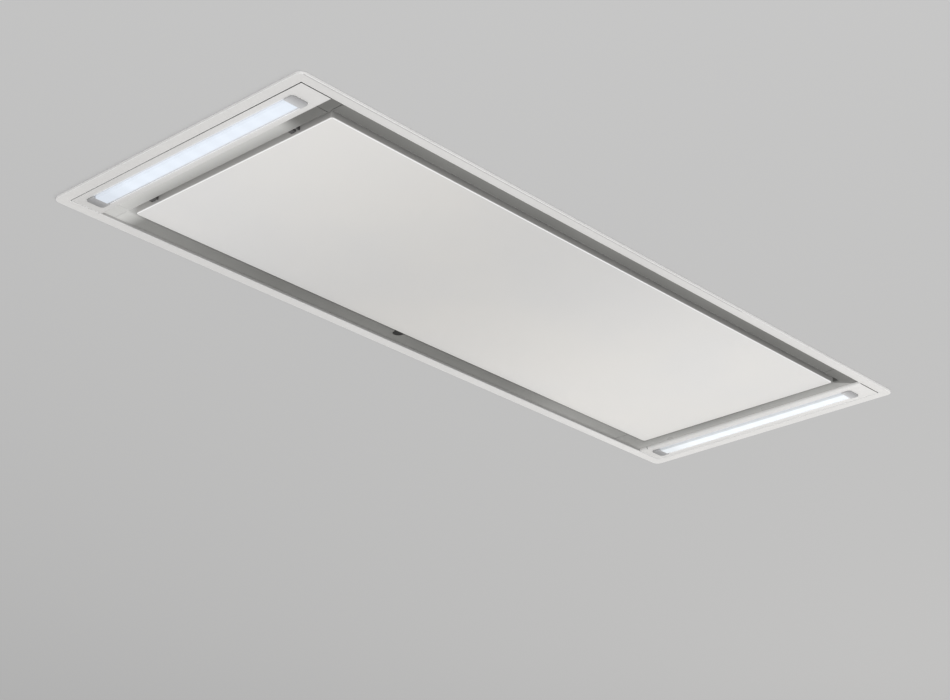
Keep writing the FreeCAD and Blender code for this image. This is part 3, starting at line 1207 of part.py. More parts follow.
def make_gland():
    start = "(ControlHalfY - ControlWall - 4)"
    body = rod("gland_body", "y", ("GlandX", start, GLAND_Z), "GlandBody",
               "ControlWall + 4 + GlandReach")
    flange = rod("gland_flange", "y", ("GlandX", "ControlHalfY", GLAND_Z), "GlandNut", 4)
    collar = prism("gland_collar", "y", "ControlHalfY + 4", "ControlHalfY + GlandReach - 2",
                   ("path", [(f"GlandX + GlandNut * cos({60 * step} deg)",
                              f"{GLAND_Z} + GlandNut * sin({60 * step} deg)")
                             for step in range(6)]))
    bore = rod("gland_bore", "y", ("GlandX", f"{start} - 2", GLAND_Z), "GlandBore",
               "ControlWall + GlandReach + 10")
    part("cable_gland", cut("cable_gland", fuse("gland_joined", body, flange, collar), bore))


def make_driver():
    far = "(DriverX + DriverLength)"
    body = prism("driver_body", "z", "CasingTop", "CasingTop + DriverHeight",
                 ("rounded", "DriverX", far, "-DriverHalfY", "DriverHalfY", "3"))
    feet = prism("driver_feet", "z", "CasingTop", "CasingTop + 3",
                 ("rounded", "DriverX - 10", f"{far} + 10", "-DriverHalfY + 8", "DriverHalfY - 8",
                  "4"))
    wire = rod("driver_wire_hole", "z", (-295, 0, "CasingTop - 5"), 6, 9)
    part("led_driver", cut("led_driver", fuse("driver_joined", body, feet), wire))


# ---------------------------------------------------------------- document

def build():
    fill_sheet()
    make_trim_frame()
    make_channels()
    make_panel()
    make_hinges()
    make_light_plate()
    make_light_profile()
    make_light_board()
    make_light_housing()
    make_lower_casing()
    make_motor_box()
    make_clamps()
    make_filter_tray()
    make_filters()
    make_scroll()
    make_hangers()
    make_motor()
    make_impeller()
    make_capacitor()
    make_outlet()
    make_control_box()
    make_gland()
    make_driver()
    part("casing_screws", group("casing_screws", *casing_screws))
    part("blower_screws", group("blower_screws", *blower_screws))
    doc.recompute()


def check():
    for item in doc.Objects:
        if "Invalid" in item.State or "Error" in item.State:
            raise RuntimeError(f"{item.Name} ({item.Label}) failed: {item.State}")
    for item in parts:
        shape = item.Shape
        if shape.isNull() or not shape.isValid() or not shape.Solids:
            raise RuntimeError(f"{item.Label} has no valid solid")


def export():
    os.makedirs("parts", exist_ok=True)
    for item in parts:
        item.Shape.exportStep(f"parts/{item.Label}.step")
        print(f"{item.Label:22s} {len(item.Shape.Solids):3d} solids {item.Shape.Volume / 1000:9.2f} cm3")


build()
check()
export()
print(len(parts), "nodes")
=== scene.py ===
"""Dresses the ceiling range hood: paint, light strips, knitted filters, screws and a plain studio.

Metres, in the frame of the packed model: x along the hood, y back to the wall, z up into the
cabinet, with the flange's upper face at z = 0.
"""
import math

import bmesh
import bpy
import numpy as np
from bpy.props import FloatProperty, FloatVectorProperty, IntProperty, PointerProperty
from mathutils import Matrix, Vector


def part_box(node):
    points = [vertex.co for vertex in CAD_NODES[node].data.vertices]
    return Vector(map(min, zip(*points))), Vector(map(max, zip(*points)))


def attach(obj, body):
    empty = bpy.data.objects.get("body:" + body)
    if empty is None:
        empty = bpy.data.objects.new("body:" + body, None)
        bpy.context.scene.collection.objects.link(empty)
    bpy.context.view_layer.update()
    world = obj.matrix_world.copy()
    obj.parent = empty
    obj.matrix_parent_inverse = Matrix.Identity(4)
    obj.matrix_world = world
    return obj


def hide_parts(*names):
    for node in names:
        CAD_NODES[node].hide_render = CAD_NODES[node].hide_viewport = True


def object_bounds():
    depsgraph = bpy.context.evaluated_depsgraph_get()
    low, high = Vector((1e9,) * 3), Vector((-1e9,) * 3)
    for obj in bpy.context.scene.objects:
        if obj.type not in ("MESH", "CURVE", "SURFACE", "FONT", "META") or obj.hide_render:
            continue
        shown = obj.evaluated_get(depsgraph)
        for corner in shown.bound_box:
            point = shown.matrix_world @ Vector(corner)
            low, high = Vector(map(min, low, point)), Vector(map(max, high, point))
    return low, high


bl_info = {
    "name": "Ceiling Range Hood Dresser",
    "version": (1, 0, 0),
    "blender": (4, 5, 0),
    "location": "View3D > Sidebar > Range Hood",
    "description": "Paints and details a built-in ceiling range hood around its packed model",
    "category": "Object",
}

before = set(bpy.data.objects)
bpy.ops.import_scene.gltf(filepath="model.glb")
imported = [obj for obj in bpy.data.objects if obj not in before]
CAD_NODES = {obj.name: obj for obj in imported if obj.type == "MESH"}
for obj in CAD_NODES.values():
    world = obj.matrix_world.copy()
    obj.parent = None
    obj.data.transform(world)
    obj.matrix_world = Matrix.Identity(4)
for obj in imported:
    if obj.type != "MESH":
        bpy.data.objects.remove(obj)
CAD_BOX = [list(corner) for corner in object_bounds()]
MM = 0.001

# Places and levels of the painted light and shade, as seen on the hood from below.
MITRE = 0.247                         # |x| - |y| along the front mitre seam of the right channel, where the right strip's painted glow on it ends
FRAME_FOLD = 1.2 * MM                 # from the plates' ends to the far side of the frame's folds
FRAME_WALL = (0.4 * MM, 1.1 * MM)     # over the plates' face, where the painted shade on the frame's folds comes in
SHADE_LINE = (0.6 * MM, 1.6 * MM)         # painted shade line behind the frame's front edge, from that edge
SHADE_LINE_START, SHADE_LINE_END = 4 * MM, 0.16   # its start, from the frame's left edge, and end, in x
SEAM = 0.35 * MM                      # how much of a plate's wall shows painted shade in its seam
SEAM_FADE, SEAM_FAINT = 0.06, 0.4     # where in y, and to what level, the painted shade in the seams fades
SLOT_SEAM = 0.3 * MM                  # painted shade line at a slot's back end, to each side
SLOT_WALL = (0.05 * MM, 0.2 * MM)     # over the plates' face, where that line comes in
PLATE_FRONT, PLATE_BACK = 1.04, 0.92  # painted shade: levels of the plates at their front and back ends
PANEL_FOLD = (0.5 * MM, 1.2 * MM)     # over the panel's face, where the painted shade on its walls comes in
PANEL_FACE = (0.2 * MM, 0.6 * MM)     # over its face, where the painted highlight along its edges goes out
EDGE_LINE = 0.001                     # width of the painted highlight along the panel's front and left edges
LEFT_WALL_SHADE = 0.78                       # painted shade on the panel's left wall, lighter than on its other walls, as it faces a strip
PANEL_COOLER = (0.955, 0.965, 0.985)  # the panel's second tint, of its first
BELOW = (-1.0, -0.5)                  # heights under the hood, for a box that takes in all of it

# Places of small details, in the model's frame.
LATCH_PAD, LATCH_END = 0.0362, -0.0853    # half width of the net's notch at a latch, its end in y
WELD_ROWS = {"lower_casing": (0.026, 0.088), "motor_box": (0.108, 0.268)}    # lowest, highest


def extent(node):
    """Lowest and highest corner of a CAD node."""
    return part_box(node)


# ---------------------------------------------------------------- sizes and colours


def tint(label, words, value):
    return FloatVectorProperty(name=label, description=words, default=value, subtype="COLOR",
                               size=3, min=0, max=1)


def length(label, words, value):
    return FloatProperty(name=label, description=words, default=value, unit="LENGTH",
                         subtype="DISTANCE", precision=5, min=0)


def ratio(label, words, value):
    return FloatProperty(name=label, description=words, default=value, min=0, soft_max=1)


class HoodCoatSettings(bpy.types.PropertyGroup):
    """Colours of the painted and plated sheet, and levels of the shade and highlights painted on
    it.
    """

    frame_white: tint("Frame white", "Powder coat of the trim frame and light plates",
                      (0.68, 0.672, 0.662))
    panel_white: tint("Panel white", "Powder coat of the swinging panel", (0.70, 0.688, 0.668))
    channel_grey: tint("Channel grey", "Coat of the recessed channels", (0.185, 0.184, 0.176))
    # Level of the painted shade on the folds of the frame and the panel that stand in the gaps
    painted_fold_shade: ratio("Fold shade", "Tint of the folds that stand in the gaps", 0.62)
    # Level of the painted shade on the plates' walls in their seams and at the slots' ends
    painted_seam_shade: ratio("Seam shade", "Tint of the plates' walls, deep in their seams", 0.05)
    # Level of the painted shade line just behind the frame's front edge
    painted_rim_shade: ratio("Rim shade", "Tint of the crease behind the frame's front edge", 0.70)
    # Level of the painted highlight along the arrises and the panel's front and left edges
    painted_arris_highlight: ratio("Edge light", "Tint of the worn-bright arrises", 0.97)
    zinc: tint("Zinc", "Galvanised sheet of the casing", (0.56, 0.575, 0.59))
    zinc_dark: tint("Dark zinc", "Darker crystals of the galvanised sheet", (0.40, 0.415, 0.43))
    arris: length("Arris", "Rounding of the painted sheet's edges", 0.0006)


class HoodLightSettings(bpy.types.PropertyGroup):
    """The two light strips."""

    lit_left: tint("Left strip", "Colour of the lit left strip", (0.71, 0.77, 0.85))
    lit_right: tint("Right strip", "Colour of the lit right strip", (0.83, 0.87, 0.90))
    glow_left: tint("Left glow", "Light that the left strip spills on its channel",
                    (0.44, 0.44, 0.43))
    glow_right: tint("Right glow", "Light that the right strip spills on its channel",
                     (0.20, 0.20, 0.195))
    halo: tint("Halo", "Light that the strips spill on their plates", (0.13, 0.133, 0.14))
    halo_reach: length("Halo reach", "How far that light runs from a strip", 0.0065)
    rim_glow: tint("Rim glow", "Light that stands in the strips' metal rims", (0.15, 0.155, 0.17))
    cap_silver: tint("Cap silver", "Painted end caps of the strips", (0.64, 0.64, 0.65))
    chip_pitch: length("Chip pitch", "Distance between the light chips", 0.020)


class HoodFilterSettings(bpy.types.PropertyGroup):
    """The pleated mesh of the two filters."""

    cell_long: length("Cell length", "Long way of a mesh opening", 0.010)
    cell_short: length("Cell width", "Short way of a mesh opening", 0.005)
    strand: length("Strand", "Radius of a mesh strand", 0.00042)
    slope: length("Slope", "Half a pleat, along the filter", 0.00599)
    pleat_rise: length("Pleat rise", "Height of a pleat", 0.0052)


class HoodScrewSettings(bpy.types.PropertyGroup):
    """Screws and spot welds."""

    head: length("Head", "Radius of a screw head", 0.004)
    head_height: length("Head height", "Height of a screw head", 0.0024)
    shank: length("Shank", "Radius of a screw shank", 0.00198)
    weld: length("Weld", "Radius of a spot weld's mark", 0.0026)
    weld_pitch: length("Weld pitch", "Distance between spot welds", 0.028)
    seed: IntProperty(name="Seed", description="Turns of the screw recesses", default=7, min=0)


class HoodStageSettings(bpy.types.PropertyGroup):
    """Camera, lamps, floor and soffit."""

    lens: FloatProperty(name="Lens", description="Camera lens in millimetres", default=78.47,
                        min=10)
    soffit: tint("Soffit", "Board that the hood is set in, seen from below", (0.52, 0.52, 0.52))
    floor: tint("Floor", "Floor seen from above", (0.74, 0.74, 0.73))
    surround: ratio("Surround", "Even light from all round", 0.70)
    under_light: FloatProperty(name="Under light", description="Power of the lamp below",
                               default=21, min=0)
    under_fill: FloatProperty(name="Under fill", description="Power of the fill below",
                              default=8.5, min=0)
    top_light: FloatProperty(name="Top light", description="Power of the lamp above",
                             default=34, min=0)
    top_fill: FloatProperty(name="Top fill", description="Power of the fill above",
                            default=12, min=0)


SETTINGS = {
    "hood_coat": HoodCoatSettings,
    "hood_lights": HoodLightSettings,
    "hood_filters": HoodFilterSettings,
    "hood_screws": HoodScrewSettings,
    "hood_stage": HoodStageSettings,
}


# ---------------------------------------------------------------- laying nodes


class Bench:
    """Short calls that lay and wire nodes in a tree."""

    def __init__(self, tree):
        self.tree = tree

    def add(self, kind, inputs=None, **settings):
        item = self.tree.nodes.new(kind)
        item.location = (190 * (len(self.tree.nodes) % 12), -220 * (len(self.tree.nodes) // 12))
        for name, value in settings.items():
            setattr(item, name, value)
        for key, value in (inputs or {}).items():
            self.feed(item.inputs[key], value)
        return item

    def feed(self, socket, value):
        """Sets a socket, or links it to another socket or to a node's first output."""
        if isinstance(value, bpy.types.NodeSocket):
            self.tree.links.new(value, socket)
        elif isinstance(value, bpy.types.Node):
            self.tree.links.new(value.outputs[0], socket)
        else:
            socket.default_value = value

    def math(self, operation, first, second=0.0, clamp=False, third=None):
        inputs = {0: first, 1: second}
        if third is not None:
            inputs[2] = third
        return self.add("ShaderNodeMath", inputs, operation=operation, use_clamp=clamp).outputs[0]

    def plus(self, first, second, clamp=False):
        return self.math("ADD", first, second, clamp)

    def minus(self, first, second):
        return self.math("SUBTRACT", first, second)

    def times(self, first, second):
        return self.math("MULTIPLY", first, second)

    def over(self, first, second):
        return self.math("DIVIDE", first, second)

    def most(self, first, second):
        return self.math("MAXIMUM", first, second)

    def distance(self, first, second=0.0):
        """How far a value is from another, or from 0."""
        return self.math("ABSOLUTE", self.minus(first, second) if second else first)

    def above(self, value, limit):
        return self.math("GREATER_THAN", value, limit)

    def below(self, value, limit):
        return self.math("LESS_THAN", value, limit)

    def blend(self, factor, first, second):
        mix = self.add("ShaderNodeMix", data_type="RGBA")
        self.feed(mix.inputs[0], factor)
        self.feed(mix.inputs[6], first)
        self.feed(mix.inputs[7], second)
        return mix.outputs[2]

    def ramp(self, value, low, high, to_low=0.0, to_high=1.0, smooth=False):
        kind = "SMOOTHSTEP" if smooth else "LINEAR"
        return self.add("ShaderNodeMapRange", {"Value": value, "From Min": low, "From Max": high,
                                               "To Min": to_low, "To Max": to_high},
                        interpolation_type=kind).outputs[0]

    def pick(self, test, if_not, if_so):
        """One value or another, by a test that is 0 or 1."""
        return self.ramp(test, 0.0, 1.0, if_not, if_so)

    def vector(self, operation, first, second):
        """A vector sum. A dot product comes out as a value."""
        node = self.add("ShaderNodeVectorMath", {0: first, 1: second}, operation=operation)
        return node.outputs[1 if operation == "DOT_PRODUCT" else 0]

    def here(self):
        """The place on the surface, in object coordinates."""
        return self.add("ShaderNodeTexCoord").outputs["Object"]

    def parts(self, vector):
        return self.add("ShaderNodeSeparateXYZ", {0: vector}).outputs

    def noise(self, vector, scale, detail, roughness=0.5):
        return self.add("ShaderNodeTexNoise", {"Vector": vector, "Scale": scale, "Detail": detail,
                                               "Roughness": roughness})


def socket_kind(default):
    """The kind of socket that holds a default. A word is the kind itself."""
    if isinstance(default, str):
        return "NodeSocket" + default
    if isinstance(default, (int, float)):
        return "NodeSocketInt" if isinstance(default, int) else "NodeSocketFloat"
    return "NodeSocketColor" if len(default) == 4 else "NodeSocketVector"


def new_group(name, kind, inputs, outputs):
    """A node group with named inputs, each with its default or kind, and named outputs."""
    tree = bpy.data.node_groups.new(name, kind)
    for label, default in inputs.items():
        item = tree.interface.new_socket(name=label, in_out="INPUT",
                                         socket_type=socket_kind(default))
        if not isinstance(default, str):
            item.default_value = default
    for label, word in outputs.items():
        tree.interface.new_socket(name=label, in_out="OUTPUT", socket_type=socket_kind(word))
    bench = Bench(tree)
    return bench, bench.add("NodeGroupInput").outputs, bench.add("NodeGroupOutput").inputs


def shader_group(name):
    """The named shader group, built the first time it is asked for."""
    if name not in bpy.data.node_groups:
        SHADER_GROUPS[name](name)
    return bpy.data.node_groups[name]


# ---------------------------------------------------------------- shader groups

SKIN = {"Color": "Color", "Roughness": "Float", "Height": "Float"}
BLACK = (0.0, 0.0, 0.0, 1.0)


def build_coat(name):
    """Even coat: two near tints in slow clouds, and a fine skin."""
    bench, given, made = new_group(name, "ShaderNodeTree", {
        "Tint": (0.7, 0.7, 0.7, 1), "Second Tint": (0.65, 0.65, 0.65, 1), "Cloud Scale": 4.0,
        "Skin Scale": 900.0, "Roughness": 0.35, "Spread": 0.06}, SKIN)
    place = bench.here()
    cloud = bench.ramp(bench.noise(place, given["Cloud Scale"], 3.0, 0.55), 0.32, 0.68, smooth=True)
    bench.feed(made["Color"], bench.blend(cloud, given["Tint"], given["Second Tint"]))
    wander = bench.math("MULTIPLY_ADD", bench.minus(cloud, 0.5), given["Spread"],
                        third=given["Roughness"])
    bench.feed(made["Roughness"], wander)
    bench.feed(made["Height"], bench.noise(place, given["Skin Scale"], 2.0))


def build_spangle(name):
    """Galvanised sheet: crystals of different shade, with faint rolling streaks and wear."""
    bench, given, made = new_group(name, "ShaderNodeTree", {
        "Tint": (0.6, 0.6, 0.6, 1), "Dark Tint": (0.4, 0.4, 0.4, 1), "Crystal Scale": 95.0,
        "Warp Scale": 60.0, "Warp": (0.012, 0.012, 0.012), "Streak Scale": (6, 240, 240),
        "Wear Scale": 7.0, "Crystals": 0.42, "Streaks": 0.22, "Wear": 0.3, "Roughness": 0.42,
        "Crystal Roughness": 0.14}, SKIN)
    place = bench.here()
    warp = bench.noise(place, given["Warp Scale"], 2.0).outputs["Color"]
    bent = bench.vector("ADD", place, bench.vector("MULTIPLY", warp, given["Warp"]))
    cells = bench.add("ShaderNodeTexVoronoi", {"Vector": bent, "Scale": given["Crystal Scale"]})
    shade = bench.add("ShaderNodeSeparateColor", {0: cells.outputs["Color"]}).outputs[0]
    streak = bench.add("ShaderNodeMapping", {"Vector": place, "Scale": given["Streak Scale"]})
    rolled = bench.noise(streak, 1.0, 4.0)
    streaks = bench.ramp(rolled, 0.3, 0.7, 0.0, given["Streaks"])
    wear = bench.ramp(bench.noise(place, given["Wear Scale"], 5.0), 0.35, 0.7, 0.0, given["Wear"])
    mask = bench.math("MULTIPLY_ADD", shade, given["Crystals"], third=streaks)
    mask = bench.plus(mask, wear, clamp=True)
    bench.feed(made["Color"], bench.blend(mask, given["Tint"], given["Dark Tint"]))
    bench.feed(made["Roughness"], bench.math("MULTIPLY_ADD", shade, given["Crystal Roughness"],
                                             third=given["Roughness"]))
    bench.feed(made["Height"], bench.math("MULTIPLY_ADD", rolled, 0.5, third=shade))


def build_drawn(name):
    """Drawn or brushed metal: fine lines along one way."""
    bench, given, made = new_group(name, "ShaderNodeTree", {
        "Tint": (0.7, 0.7, 0.7, 1), "Second Tint": (0.6, 0.6, 0.6, 1),
        "Line Scale": (900, 20, 900), "Roughness": 0.3, "Line Roughness": 0.12}, SKIN)
    lines = bench.noise(bench.vector("MULTIPLY", bench.here(), given["Line Scale"]), 1.0, 3.0)
    mask = bench.ramp(lines, 0.3, 0.7)
    bench.feed(made["Color"], bench.blend(mask, given["Tint"], given["Second Tint"]))
    bench.feed(made["Roughness"], bench.math("MULTIPLY_ADD", mask, given["Line Roughness"],
                                             third=given["Roughness"]))
    bench.feed(made["Height"], lines)


def build_glow(name):
    """Light of the strips on the channels: soft across the left end and round its back corner,
    flatter across the right end, cut off at the front mitre and running out along the back."""
    bench, given, made = new_group(name, "ShaderNodeTree", {
        "Left Glow": (0.4, 0.4, 0.4, 1), "Right Glow": (0.2, 0.2, 0.2, 1), "Plate Edge": 0.3857,
        "Lip": 0.3708, "Turn": 0.127, "Mitre": 0.247, "Start": -0.101, "Start Fade": 0.023,
        "Lip Level": 0.36, "Lip Level at Turn": 0.74, "Turn Fade": 0.04, "Plate Level": 0.95,
        "Corner Level": 0.86, "Corner Reach": 0.028, "Back Level": 0.11, "Back From": 0.2,
        "Back To": 0.33, "Right Dim Place": 0.03, "Right Dim Reach": 0.11, "Right Dim Level": 0.28,
        "Right Lip Level": 0.60, "Right Plate Level": 0.92, "Right Back Level": 0.5,
        "Right Back From": 0.1, "Right Back To": 0.26}, {"Color": "Color"})
    x, y, _ = bench.parts(bench.here())
    out = bench.distance(x)
    edge, lip, turn = given["Plate Edge"], given["Lip"], given["Turn"]
    in_back = bench.above(y, turn)
    by_lip = bench.ramp(y, bench.minus(turn, given["Turn Fade"]), turn, given["Lip Level"],
                        given["Lip Level at Turn"])
    across = bench.ramp(out, lip, edge, by_lip, given["Plate Level"])
    corner = bench.ramp(out, bench.minus(lip, given["Corner Reach"]), lip, 0.0,
                        given["Corner Level"], smooth=True)
    corner = bench.most(corner, bench.ramp(out, given["Back From"], given["Back To"], 0.0,
                                           given["Back Level"]))
    started = bench.ramp(y, given["Start"], bench.plus(given["Start"], given["Start Fade"]),
                         smooth=True)
    left = bench.times(bench.pick(in_back, across, corner), started)
    by_lip = bench.ramp(bench.distance(y, given["Right Dim Place"]), 0.0, given["Right Dim Reach"],
                        given["Right Dim Level"], given["Right Lip Level"])
    rise = bench.ramp(out, lip, edge, by_lip, given["Right Plate Level"])
    beyond = bench.above(bench.minus(out, bench.distance(y)), given["Mitre"])
    along_back = bench.ramp(x, given["Right Back From"], given["Right Back To"], 0.0,
                            given["Right Back Level"], smooth=True)
    rear = bench.most(bench.times(rise, bench.above(out, lip)), bench.times(in_back, along_back))
    right = bench.pick(bench.above(y, 0.0), bench.times(rise, beyond), rear)
    bench.feed(made["Color"], bench.blend(bench.above(x, 0.0),
                                          bench.blend(left, BLACK, given["Left Glow"]),
                                          bench.blend(right, BLACK, given["Right Glow"])))


def build_halo(name):
    """Light of a strip on the plate round it, of its own strength on each side."""
    bench, given, made = new_group(name, "ShaderNodeTree", {
        "Halo": (0.15, 0.15, 0.15, 1), "Strip Middle": 0.4035, "Strip Half Width": 0.007,
        "Strip Centre": 0.004, "Strip Half Length": 0.122, "Reach": 0.0065, "End Inside": -0.012,
        "End Outside": 0.009, "Left Outer": 0.8, "Left Inner": 1.0, "Right Outer": 0.9,
        "Right Inner": 0.0}, {"Color": "Color"})
    x, y, _ = bench.parts(bench.here())
    beside = bench.minus(bench.distance(x), given["Strip Middle"])
    aside = bench.minus(bench.distance(beside), given["Strip Half Width"])
    past = bench.minus(bench.distance(y, given["Strip Centre"]), given["Strip Half Length"])
    level = bench.times(bench.ramp(aside, 0.0, given["Reach"], 1.0, 0.0, smooth=True),
                        bench.ramp(past, given["End Inside"], given["End Outside"], 1.0, 0.0,
                                   smooth=True))
    outer = bench.above(beside, 0.0)
    side = bench.pick(bench.above(x, 0.0),
                      bench.pick(outer, given["Left Inner"], given["Left Outer"]),
                      bench.pick(outer, given["Right Inner"], given["Right Outer"]))
    bench.feed(made["Color"], bench.blend(bench.times(level, side), BLACK, given["Halo"]))


def build_strip(name):
    """Frosted strips lit by rows of chips: a slight swell of light over each, dimmer at the ends,
    at the back and along the right strip's inner edge."""
    bench, given, made = new_group(name, "ShaderNodeTree", {
        "Left Lit": (0.8, 0.85, 0.9, 1), "Right Lit": (0.9, 0.95, 1, 1), "Chip Pitch": 0.02,
        "Between Chips": 0.965, "Middle": 0.004, "Half Length": 0.124, "End Reach": 0.012,
        "End Level": 0.95, "Back From": 0.084, "Back To": 0.108, "Back Level": 0.88,
        "Right Inner Edge": 0.3965, "Edge Reach": 0.003, "Edge Level": 0.70}, {"Color": "Color"})
    x, y, _ = bench.parts(bench.here())
    along = bench.minus(y, given["Middle"])
    wave = bench.math("COSINE", bench.over(bench.times(along, math.tau), given["Chip Pitch"]))
    swell = bench.ramp(wave, -1.0, 1.0, given["Between Chips"], 1.0)
    edge = bench.minus(given["Half Length"], bench.distance(along))
    level = bench.times(swell, bench.ramp(edge, 0.0, given["End Reach"], given["End Level"], 1.0,
                                          smooth=True))
    level = bench.times(level, bench.ramp(along, given["Back From"], given["Back To"], 1.0,
                                          given["Back Level"]))
    inner = bench.ramp(bench.minus(x, given["Right Inner Edge"]), 0.0, given["Edge Reach"],
                       given["Edge Level"], 1.0, smooth=True)
    level = bench.times(level, bench.plus(inner, bench.below(x, 0.0), clamp=True))
    lit = bench.blend(bench.above(x, 0.0), given["Left Lit"], given["Right Lit"])
    bench.feed(made["Color"], bench.blend(level, BLACK, lit))


def build_arris(name):
    """How far a rounded normal leans from the face's own: a mask that is high along the arrises,
    for their painted highlight.
    """
    bench, given, made = new_group(name, "ShaderNodeTree", {
        "Rounded": (0, 0, 1), "Low": 0.02, "High": 0.2}, {"Mask": "Float"})
    flat = bench.add("ShaderNodeNewGeometry").outputs["True Normal"]
    lean = bench.minus(1.0, bench.vector("DOT_PRODUCT", given["Rounded"], flat))
    bench.feed(made["Mask"], bench.ramp(lean, given["Low"], given["High"], smooth=True))


def build_box(name):
    """Whatever lies inside a box in x and y, coming in over the box's height."""
    bench, given, made = new_group(name, "ShaderNodeTree", {
        "Low Corner": (-1, -1, 0), "High Corner": (1, 1, 1)}, {"Mask": "Float"})
    at, low, high = [bench.parts(source) for source in
                     (bench.here(), given["Low Corner"], given["High Corner"])]
    inside = bench.ramp(at[2], low[2], high[2])
    for axis in (0, 1):
        inside = bench.times(inside, bench.above(at[axis], low[axis]))
        inside = bench.times(inside, bench.below(at[axis], high[axis]))
    bench.feed(made["Mask"], inside)


def build_shade(name):
    """Broad painted shade along x: darkest at one place, paler on both sides of it."""
    bench, given, made = new_group(name, "ShaderNodeTree", {
        "Darkest": -0.1, "Reach": 0.4, "Low": 0.9, "High": 1.1}, {"Value": "Float"})
    x, _, _ = bench.parts(bench.here())
    away = bench.distance(x, given["Darkest"])
    bench.feed(made["Value"], bench.ramp(away, 0.0, given["Reach"], given["Low"], given["High"],
                                         smooth=True))


def build_slope(name):
    """Painted light and shade: a level that slopes from one value to another along one way."""
    bench, given, made = new_group(name, "ShaderNodeTree", {
        "Way": (1, 0, 0), "From": 0.0, "To": 0.34, "Low": 1.0, "High": 1.13}, {"Value": "Float"})
    along = bench.vector("DOT_PRODUCT", bench.here(), given["Way"])
    bench.feed(made["Value"], bench.ramp(along, given["From"], given["To"], given["Low"],
                                         given["High"]))


def build_cross(name):
    """Painted shade of the long channels: the front one deepens towards its lip, the back one is
    even and paler.
    """
    bench, given, made = new_group(name, "ShaderNodeTree", {
        "Flange": -0.1455, "Front Lip": -0.131, "Side": 0.3708, "Front Pale": 1.24,
        "Front Deep": 0.86, "Back": 1.13}, {"Value": "Float"})
    x, y, _ = bench.parts(bench.here())
    front = bench.ramp(y, given["Flange"], given["Front Lip"], given["Front Pale"],
                       given["Front Deep"])
    level = bench.pick(bench.above(y, 0.0), front, given["Back"])
    at_side = bench.above(bench.distance(x), given["Side"])
    bench.feed(made["Value"], bench.pick(at_side, level, 1.0))


def build_cap(name):
    """Painted light and shade on the strips' end caps: pale beside the lit strip, deeper at the
    slot's end, and darker on the back caps.
    """
    bench, given, made = new_group(name, "ShaderNodeTree", {
        "Centre": 0.004, "Strip End": 0.124, "Cap End": 0.132, "Deep": 0.62, "Back": 0.76},
        {"Value": "Float"})
    _, y, _ = bench.parts(bench.here())
    level = bench.ramp(bench.distance(y, given["Centre"]), given["Strip End"], given["Cap End"],
                       1.0, given["Deep"])
    rear = bench.pick(bench.above(y, 0.0), 1.0, given["Back"])
    bench.feed(made["Value"], bench.times(level, rear))


SHADER_GROUPS = {
    "Even Coat": build_coat,
    "Zinc Spangle": build_spangle,
    "Drawn Metal": build_drawn,
    "Strip Glow": build_glow,
    "Slot Halo": build_halo,
    "Chip Light": build_strip,
    "Arris Mask": build_arris,
    "Box Mask": build_box,
    "Broad Shade": build_shade,
    "Slope Shade": build_slope,
    "Cross Shade": build_cross,
    "Cap Shade": build_cap,
}


# ---------------------------------------------------------------- materials


def opaque(color):
    return (*color, 1.0)


def shaded(color, factor):
    return opaque(channel * factor for channel in color)


def bright(look):
    """Colour of the painted highlight along the arrises and the panel's edges."""
    return opaque((look.painted_arris_highlight,) * 3)


def cleared(owner):
    """The emptied node tree of a material or a world."""
    owner.use_nodes = True
    owner.node_tree.nodes.clear()
    return Bench(owner.node_tree)


class Finish:
    """A Principled material whose colour, roughness and bump come from a shader group."""

    def __init__(self, name, group, values, bump=0.1, bump_mm=0.1, arris=0.0, **plain):
        self.material = bpy.data.materials.new(name)
        self.bench = cleared(self.material)
        shader = self.bench.add("ShaderNodeBsdfPrincipled")
        self.sockets = shader.inputs
        skin = self.group(group, values)
        self.feed("Base Color", skin["Color"])
        self.feed("Roughness", skin["Roughness"])
        relief = self.bench.add("ShaderNodeBump", {"Height": skin["Height"], "Strength": bump,
                                                   "Distance": bump_mm * MM})
        if arris:
            rounded = self.bench.add("ShaderNodeBevel", {"Radius": arris}, samples=4)
            self.bench.feed(relief.inputs["Normal"], rounded)
        self.feed("Normal", relief)
        for key, value in plain.items():
            self.feed(key.replace("_", " "), value)
        self.bench.add("ShaderNodeOutputMaterial", {"Surface": shader})

    def feed(self, socket, value):
        self.bench.feed(self.sockets[socket], value)

    def group(self, name, values=None):
        """The outputs of a shader group that has this material's own values."""
        return self.bench.add("ShaderNodeGroup", values, node_tree=shader_group(name)).outputs

    def box(self, low, high):
        return self.group("Box Mask", {"Low Corner": low, "High Corner": high})["Mask"]

    def base(self):
        """Whatever feeds the base colour so far."""
        return self.sockets["Base Color"].links[0].from_socket

    def overlay(self, mask, color):
        """Lays another colour over the base colour, by a mask."""
        self.feed("Base Color", self.bench.blend(mask, self.base(), color))

    def scale(self, name, values=None):
        """Multiplies the base colour by the value of a shader group."""
        level = self.group(name, values)["Value"]
        self.feed("Base Color", self.bench.add("ShaderNodeVectorMath",
                                               {0: self.base(), "Scale": level}, operation="SCALE"))

    def painted_arris_highlight(self, look):
        """Painted highlight along the arrises, found with a Bevel node of their own, twice as wide.
        """
        wide = self.bench.add("ShaderNodeBevel", {"Radius": 2 * look.arris}, samples=6)
        self.overlay(self.group("Arris Mask", {"Rounded": wide})["Mask"], bright(look))

    def glow(self, color):
        self.feed("Emission Color", color)
        self.feed("Emission Strength", 1.0)

    def dress(self, *nodes):
        """Gives CAD nodes this material."""
        for node in nodes:
            for place in CAD_NODES[node].material_slots:
                place.material = self.material


